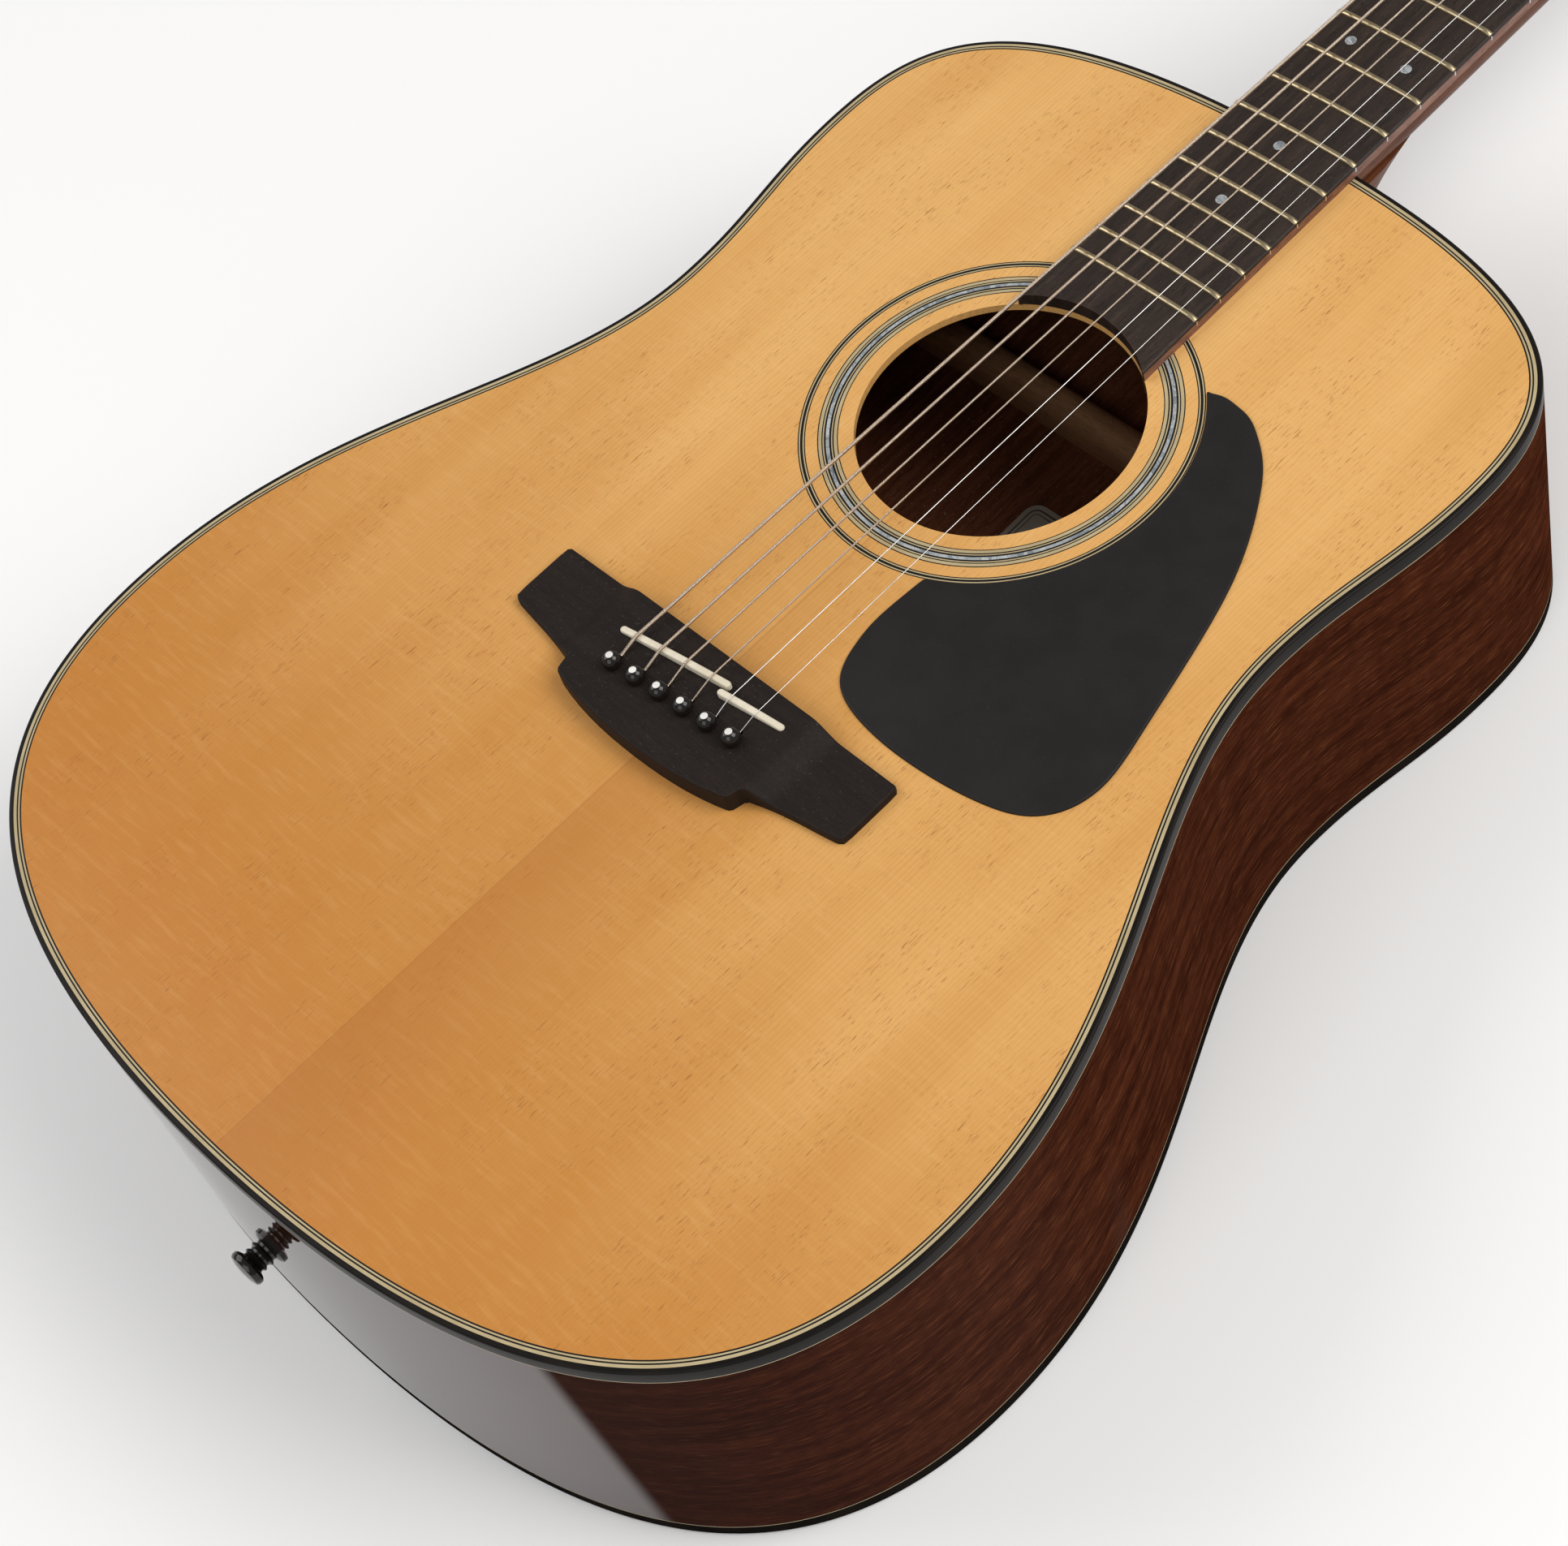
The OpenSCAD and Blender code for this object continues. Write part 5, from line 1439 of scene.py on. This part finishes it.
def headPieces():
    k = headLook
    outline = dense(softened(dense(faceLoops("headstock_veneer", unhead)[0], 12 * mm)), 3 * mm)
    holes = [circle(k["postHole"], 32, c) for c in postCentres]
    addPiece("headstock", plateShape(outline, backFace, -k["veneer"], holes, underRounding=k["rounding"],
        steps=5),
        "neck", matrix=headMatrix)
    addPiece("headstockVeneer", plateShape(outline, -k["veneer"], -0.02 * mm, holes,
        rounding=k["veneerRounding"]),
        "veneer", ["headstock_veneer"], matrix=headMatrix)
    # a thickening where the neck turns into the headstock: it follows the neck, then the headstock
    v = voluteLook
    rows = []
    for t in np.linspace(0, 1, 24):
        y = v["reach"] * (2 * t - 1)
        swell = math.sin(math.pi * t) ** 2
        w = v["halfWidth"] * (v["narrow"] + (1 - v["narrow"]) * swell)
        base, sag = v["neckSide"] if y < 0 else v["headSide"]
        row = [(w * c, y, base + sag * swell + v["depth"] - (v["depth"] + v["swell"] * swell) * up)
            for c, up in halfArch(17)]
        rows.append(moved(row, headLocal if y > 0 else nutLine))
    addPiece("volute", prism(rows), "neck")


headPieces()
print("neck, heel and headstock made")

tunerLook = {  # profiles are (radius, height) in millimetres
    "postRadius": 3.0 * mm, "waist": 2.5 * mm, "waistFrom": 12 * mm, "waistLength": 8 * mm,
    "stringHole": (0.9, 3.2),
    "housing": 12 * mm, "housingRounding": 2.4 * mm, "housingCorner": 3.2 * mm,
    "housingBox": (-8, 9, -8, 12.5),
    "lugInset": 2 * mm, "lugBox": (-3.5, 3.5, -14, -6), "lugHigh": 2 * mm, "lugCorner": 3.3 * mm,
    "lugRounding": 0.6 * mm,
    "collar": [(2.2, 7), (3.4, 7.2), (3.4, 10), (2.8, 11.2), (1.6, 11.2)],
    "screw": [(0.1, 1.0), (2.3, 1.0), (2.3, 1.9), (1.725, 2.9), (0.1, 3.3)], "screwInset": 10.5 * mm,
    "washer": [(3.1, 0.02), (6.8, 0.02), (6.8, 0.5), (6.3, 0.8), (3.1, 0.8)],
    "hexRadius": 5.7 * mm, "hexHole": 3.1 * mm, "hexLow": 0.7 * mm, "hexHigh": 2.0 * mm,
    "hexRounding": 0.35 * mm,
}
buttonLook = {"rows": 30, "around": 32, "stem": 0.30, "stemHalf": 2.7 * mm, "stemSpread": 0.4 * mm,
    "stemThin": 0.2 * mm,
    "neckHalf": 3.1 * mm, "thick": 3.4 * mm, "dish": 0.30, "oval": 0.8, "squareness": 0.75, "rimFrom": 0.8,
    "rimThin": 0.7}
onBackFace = Matrix.Translation((0, 0, backFace)) @ Matrix.Scale(-1, 4, (0, 0, 1))


def postPiece(i):
    # shank, waist for the string, domed top and a cross hole
    k = tunerLook
    r, low, top = k["postRadius"], postBoxes[i - 1][0][2], postBoxes[i - 1][1][2]
    profile = [(r - 0.3 * mm, low + 1 * mm), (r, low + 1.4 * mm), (r, top - 13 * mm)]
    for a in np.linspace(0, 1, 9):
        radius = r - (r - k["waist"]) * math.sin(math.pi * a) ** 0.7
        profile.append((radius, top - k["waistFrom"] + k["waistLength"] * a))
    profile += [(r, top - 2.2 * mm), (r - 0.15 * mm, top - 0.5 * mm), (r - 0.7 * mm, top - 0.05 * mm),
        (0.8 * mm, top),
        (0.1 * mm, top - 0.25 * mm)]
    x, y = postCentres[i - 1]
    post = addPiece("post_%d" % i, shifted(latheShape(profile, 40), x, y), "chrome", ["tuner_post_%d" % i],
        body="post_%d" % i, matrix=headMatrix)
    holeRadius, holeDown = (v * mm for v in k["stringHole"])
    turned = Matrix.Translation((x, y, top - holeDown)) @ Matrix.Rotation(math.pi / 2, 4, "Y")
    cutAway(post, [placed(latheShape([(holeRadius, -6 * mm), (holeRadius, 6 * mm)], 20), turned)], headMatrix)


def buttonShape(start, side, length, halfY, y, z):
    # a rounded oval paddle, thin at the stem and dished on both faces
    k = buttonLook
    rows = []
    for t in np.linspace(0, 1, k["rows"]):
        if t < k["stem"]:
            along = t / k["stem"]
            w, thick = k["stemHalf"] + k["stemSpread"] * along ** 2, k["stemHalf"] - k["stemThin"] * along
        else:
            u = (t - k["stem"]) / (1 - k["stem"])
            w = max(halfY * math.sqrt(max(0.0, 1 - (2 * u - 1) ** 2)) ** k["oval"],
                k["neckHalf"] * (1 - u) ** 2)
            rimShare = 1 - max(0, u - k["rimFrom"]) / (1 - k["rimFrom"]) * k["rimThin"]
            thick = k["thick"] * (1 - k["dish"] * math.sin(math.pi * u) ** 2) * max(0.12, rimShare)
        row = []
        for a in np.linspace(0, 2 * math.pi, k["around"], endpoint=False):
            c, up = (math.copysign(abs(v) ** k["squareness"], v) for v in (math.cos(a), math.sin(a)))
            row.append((start + side * length * t, y + w * c, z + thick * up))
        rows.append(row)
    return prism(rows)


def tunerPieces():
    k = tunerLook
    housings, bushings, screws = [], [], []
    for i, (x, y) in enumerate(postCentres, 1):
        side = 1 if i < 4 else -1
        postPiece(i)
        wormY, wormZ = (sum(extent("tuner_worm_%d" % i, unhead)) / 2)[1:]
        button = extent("tuner_button_%d" % i, unhead)
        # housing: a cast box with rounded shoulders, a screw lug and a collar round the shaft
        a0, a1, b0, b1 = (v * mm for v in k["housingBox"])
        x0, x1 = sorted((x + side * a0, x + side * a1))
        box = plateShape(roundedBox(x0, x1, y + b0, y + b1, k["housingCorner"]), 0, k["housing"],
            rounding=k["housingRounding"], steps=5)
        a0, a1, b0, b1 = (v * mm for v in k["lugBox"])
        lugX = x - side * k["lugInset"]
        lug = plateShape(roundedBox(lugX + a0, lugX + a1, y + b0, y + b1, k["lugCorner"]), 0, k["lugHigh"],
            rounding=k["lugRounding"])
        alongShaft = Matrix.Translation((x, wormY, wormZ)) @ Matrix.Rotation(side * math.pi / 2, 4, "Y")
        housings += [placed(box, onBackFace), placed(lug, onBackFace),
            placed(latheShape(inMm(k["collar"]), 32), alongShaft)]
        screws.append(placed(shifted(latheShape(inMm(k["screw"]), 24), lugX, y - k["screwInset"]),
            onBackFace))
        # bushing: a washer and a six-sided nut
        hexNut = plateShape(dense(circle(k["hexRadius"], 6), 2 * mm), k["hexLow"], k["hexHigh"],
            [circle(k["hexHole"], 32)],
            rounding=k["hexRounding"])
        bushings += [shifted(latheShape(inMm(k["washer"]), 40), x, y), shifted(hexNut, x, y)]
        stemX, length = button[0 if side > 0 else 1][0], button[1][0] - button[0][0]
        halfY = (button[1][1] - button[0][1]) / 2
        addPiece("button_%d" % i, buttonShape(stemX, side, length, halfY, wormY, wormZ), "chrome",
            ["tuner_button_%d" % i], body="peg_%d" % i, matrix=headMatrix, sharp=50)
        dress("tuner_worm_%d" % i, "steel")
    for name, shapes, node in (("tunerHousings", housings, "tuner_housings"),
        ("tunerBushings", bushings, "tuner_bushings"),
            ("housingScrews", screws, "housing_screws")):
        addPiece(name, joined(shapes), "chrome", [node], matrix=headMatrix)


tunerPieces()

endPinLook = {"profile": [(0.1, -1), (4.5, -0.5), (7.0, 0.0), (7.0, 0.8), (6.0, 1.5), (4.3, 2.0),
    (4.0, 2.9), (4.9, 3.6),
    (5.0, 4.2), (4.1, 4.9), (3.9, 5.7), (4.7, 6.4), (4.8, 7.0), (4.0, 7.7), (4.2, 8.4), (6.0, 9.1),
    (6.8, 9.9), (6.8, 11.2),
    (6.2, 12.1), (4.0, 12.7), (0.1, 12.98)]}
pinHeight = sum(extent("end_pin"))[2] / 2
outOfTail = Matrix.Translation((0, tailY, pinHeight)) @ Matrix.Rotation(math.pi / 2, 4, "X")
addPiece("endPin", placed(latheShape(inMm(endPinLook["profile"]), 48), outOfTail), "pinBlack", ["end_pin"])
print("tuners and end pin made")


stageLook = {"floor": (0.95, 0.95, 0.95, 1), "floorShade": (0.90, 0.90, 0.90, 1), "shadeShare": 0.12,
    "floorSize": 9.0,
    "floorDrop": 0.5 * mm, "world": (0.95, 0.96, 0.98, 1), "worldStrength": 0.34}


def makeFloor():
    k = stageLook
    mat, n, shader = newFinish("paleFloor")
    cloud = n.noise(n.coords(), 3.0, 4.0)
    n.set(shader.inputs["Base Color"], n.mix(n.math("MULTIPLY", cloud, k["shadeShare"]), k["floor"],
        k["floorShade"]))
    shader.inputs["Roughness"].default_value = 0.7
    half = k["floorSize"] / 2
    points, faces, _ = gridShape([[(x, y, 0.0) for y in np.linspace(-half, half, 9)]
        for x in np.linspace(-half, half, 9)])
    mesh = bpy.data.meshes.new("floor")
    mesh.from_pydata([tuple(p) for p in points], [], faces)
    floor = inScene("floor", mesh)
    floor.location = (0, 0, -k["floorDrop"])
    mesh.materials.append(mat)
    floor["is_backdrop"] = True


makeFloor()
bpy.context.scene.view_settings.view_transform = "Standard"
world = bpy.data.worlds.new("studio")
bpy.context.scene.world = world
world.use_nodes = True
world.node_tree.nodes["Background"].inputs[0].default_value = stageLook["world"]
world.node_tree.nodes["Background"].inputs[1].default_value = stageLook["worldStrength"]

lights = {  # name: (place, aim, size, power, tint)
    "keyRight": ((1.5, 0.9, 2.1), (0, -0.2, 0.1), 1.8, 50, (1.0, 0.98, 0.95)),
    "fillLeft": ((-1.9, -1.2, 2.0), (0, -0.3, 0.1), 2.0, 30, (1.0, 0.99, 0.98)),
    "fillTail": ((0.9, -2.2, 1.8), (0, -0.3, 0.1), 1.8, 18, (1.0, 0.98, 0.96)),
}
for name, (place, aim, size, power, tint) in lights.items():
    data = bpy.data.lights.new(name, "AREA")
    data.size, data.energy, data.color = size, power, tint
    lamp = inScene(name, data)
    lamp.location = place
    lamp.rotation_euler = (Vector(aim) - Vector(place)).to_track_quat("-Z", "Y").to_euler()

cameraLook = {"place": (628.976, -450.345, 906.965), "turn": (2.442, 0.938, -0.564),  # place in millimetres
    "focalLength": 4292.777, "frameWidth": 1932, "sensor": 36}


def makeCamera():
    k = cameraLook
    turn = Vector(k["turn"])
    right, down, ahead = Matrix.Rotation(turn.length, 3, turn.normalized())
    # a camera looks along its own -Z
    place = Matrix((right, -down, -ahead)).transposed().to_4x4()
    place.translation = Vector(k["place"]) * mm
    data = bpy.data.cameras.new("camera")
    data.lens = k["focalLength"] * k["sensor"] / k["frameWidth"]
    data.sensor_width = k["sensor"]
    data.clip_start = 0.01
    camera = inScene("camera", data)
    camera.matrix_world = laid @ place
    bpy.context.scene.camera = camera


makeCamera()
print("stage, lights and camera made")

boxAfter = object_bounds()
boxes = {"cad": boxBefore, "visual": boxAfter}
boxes = {name: [[float(v) for v in corner] for corner in box] for name, box in boxes.items()}
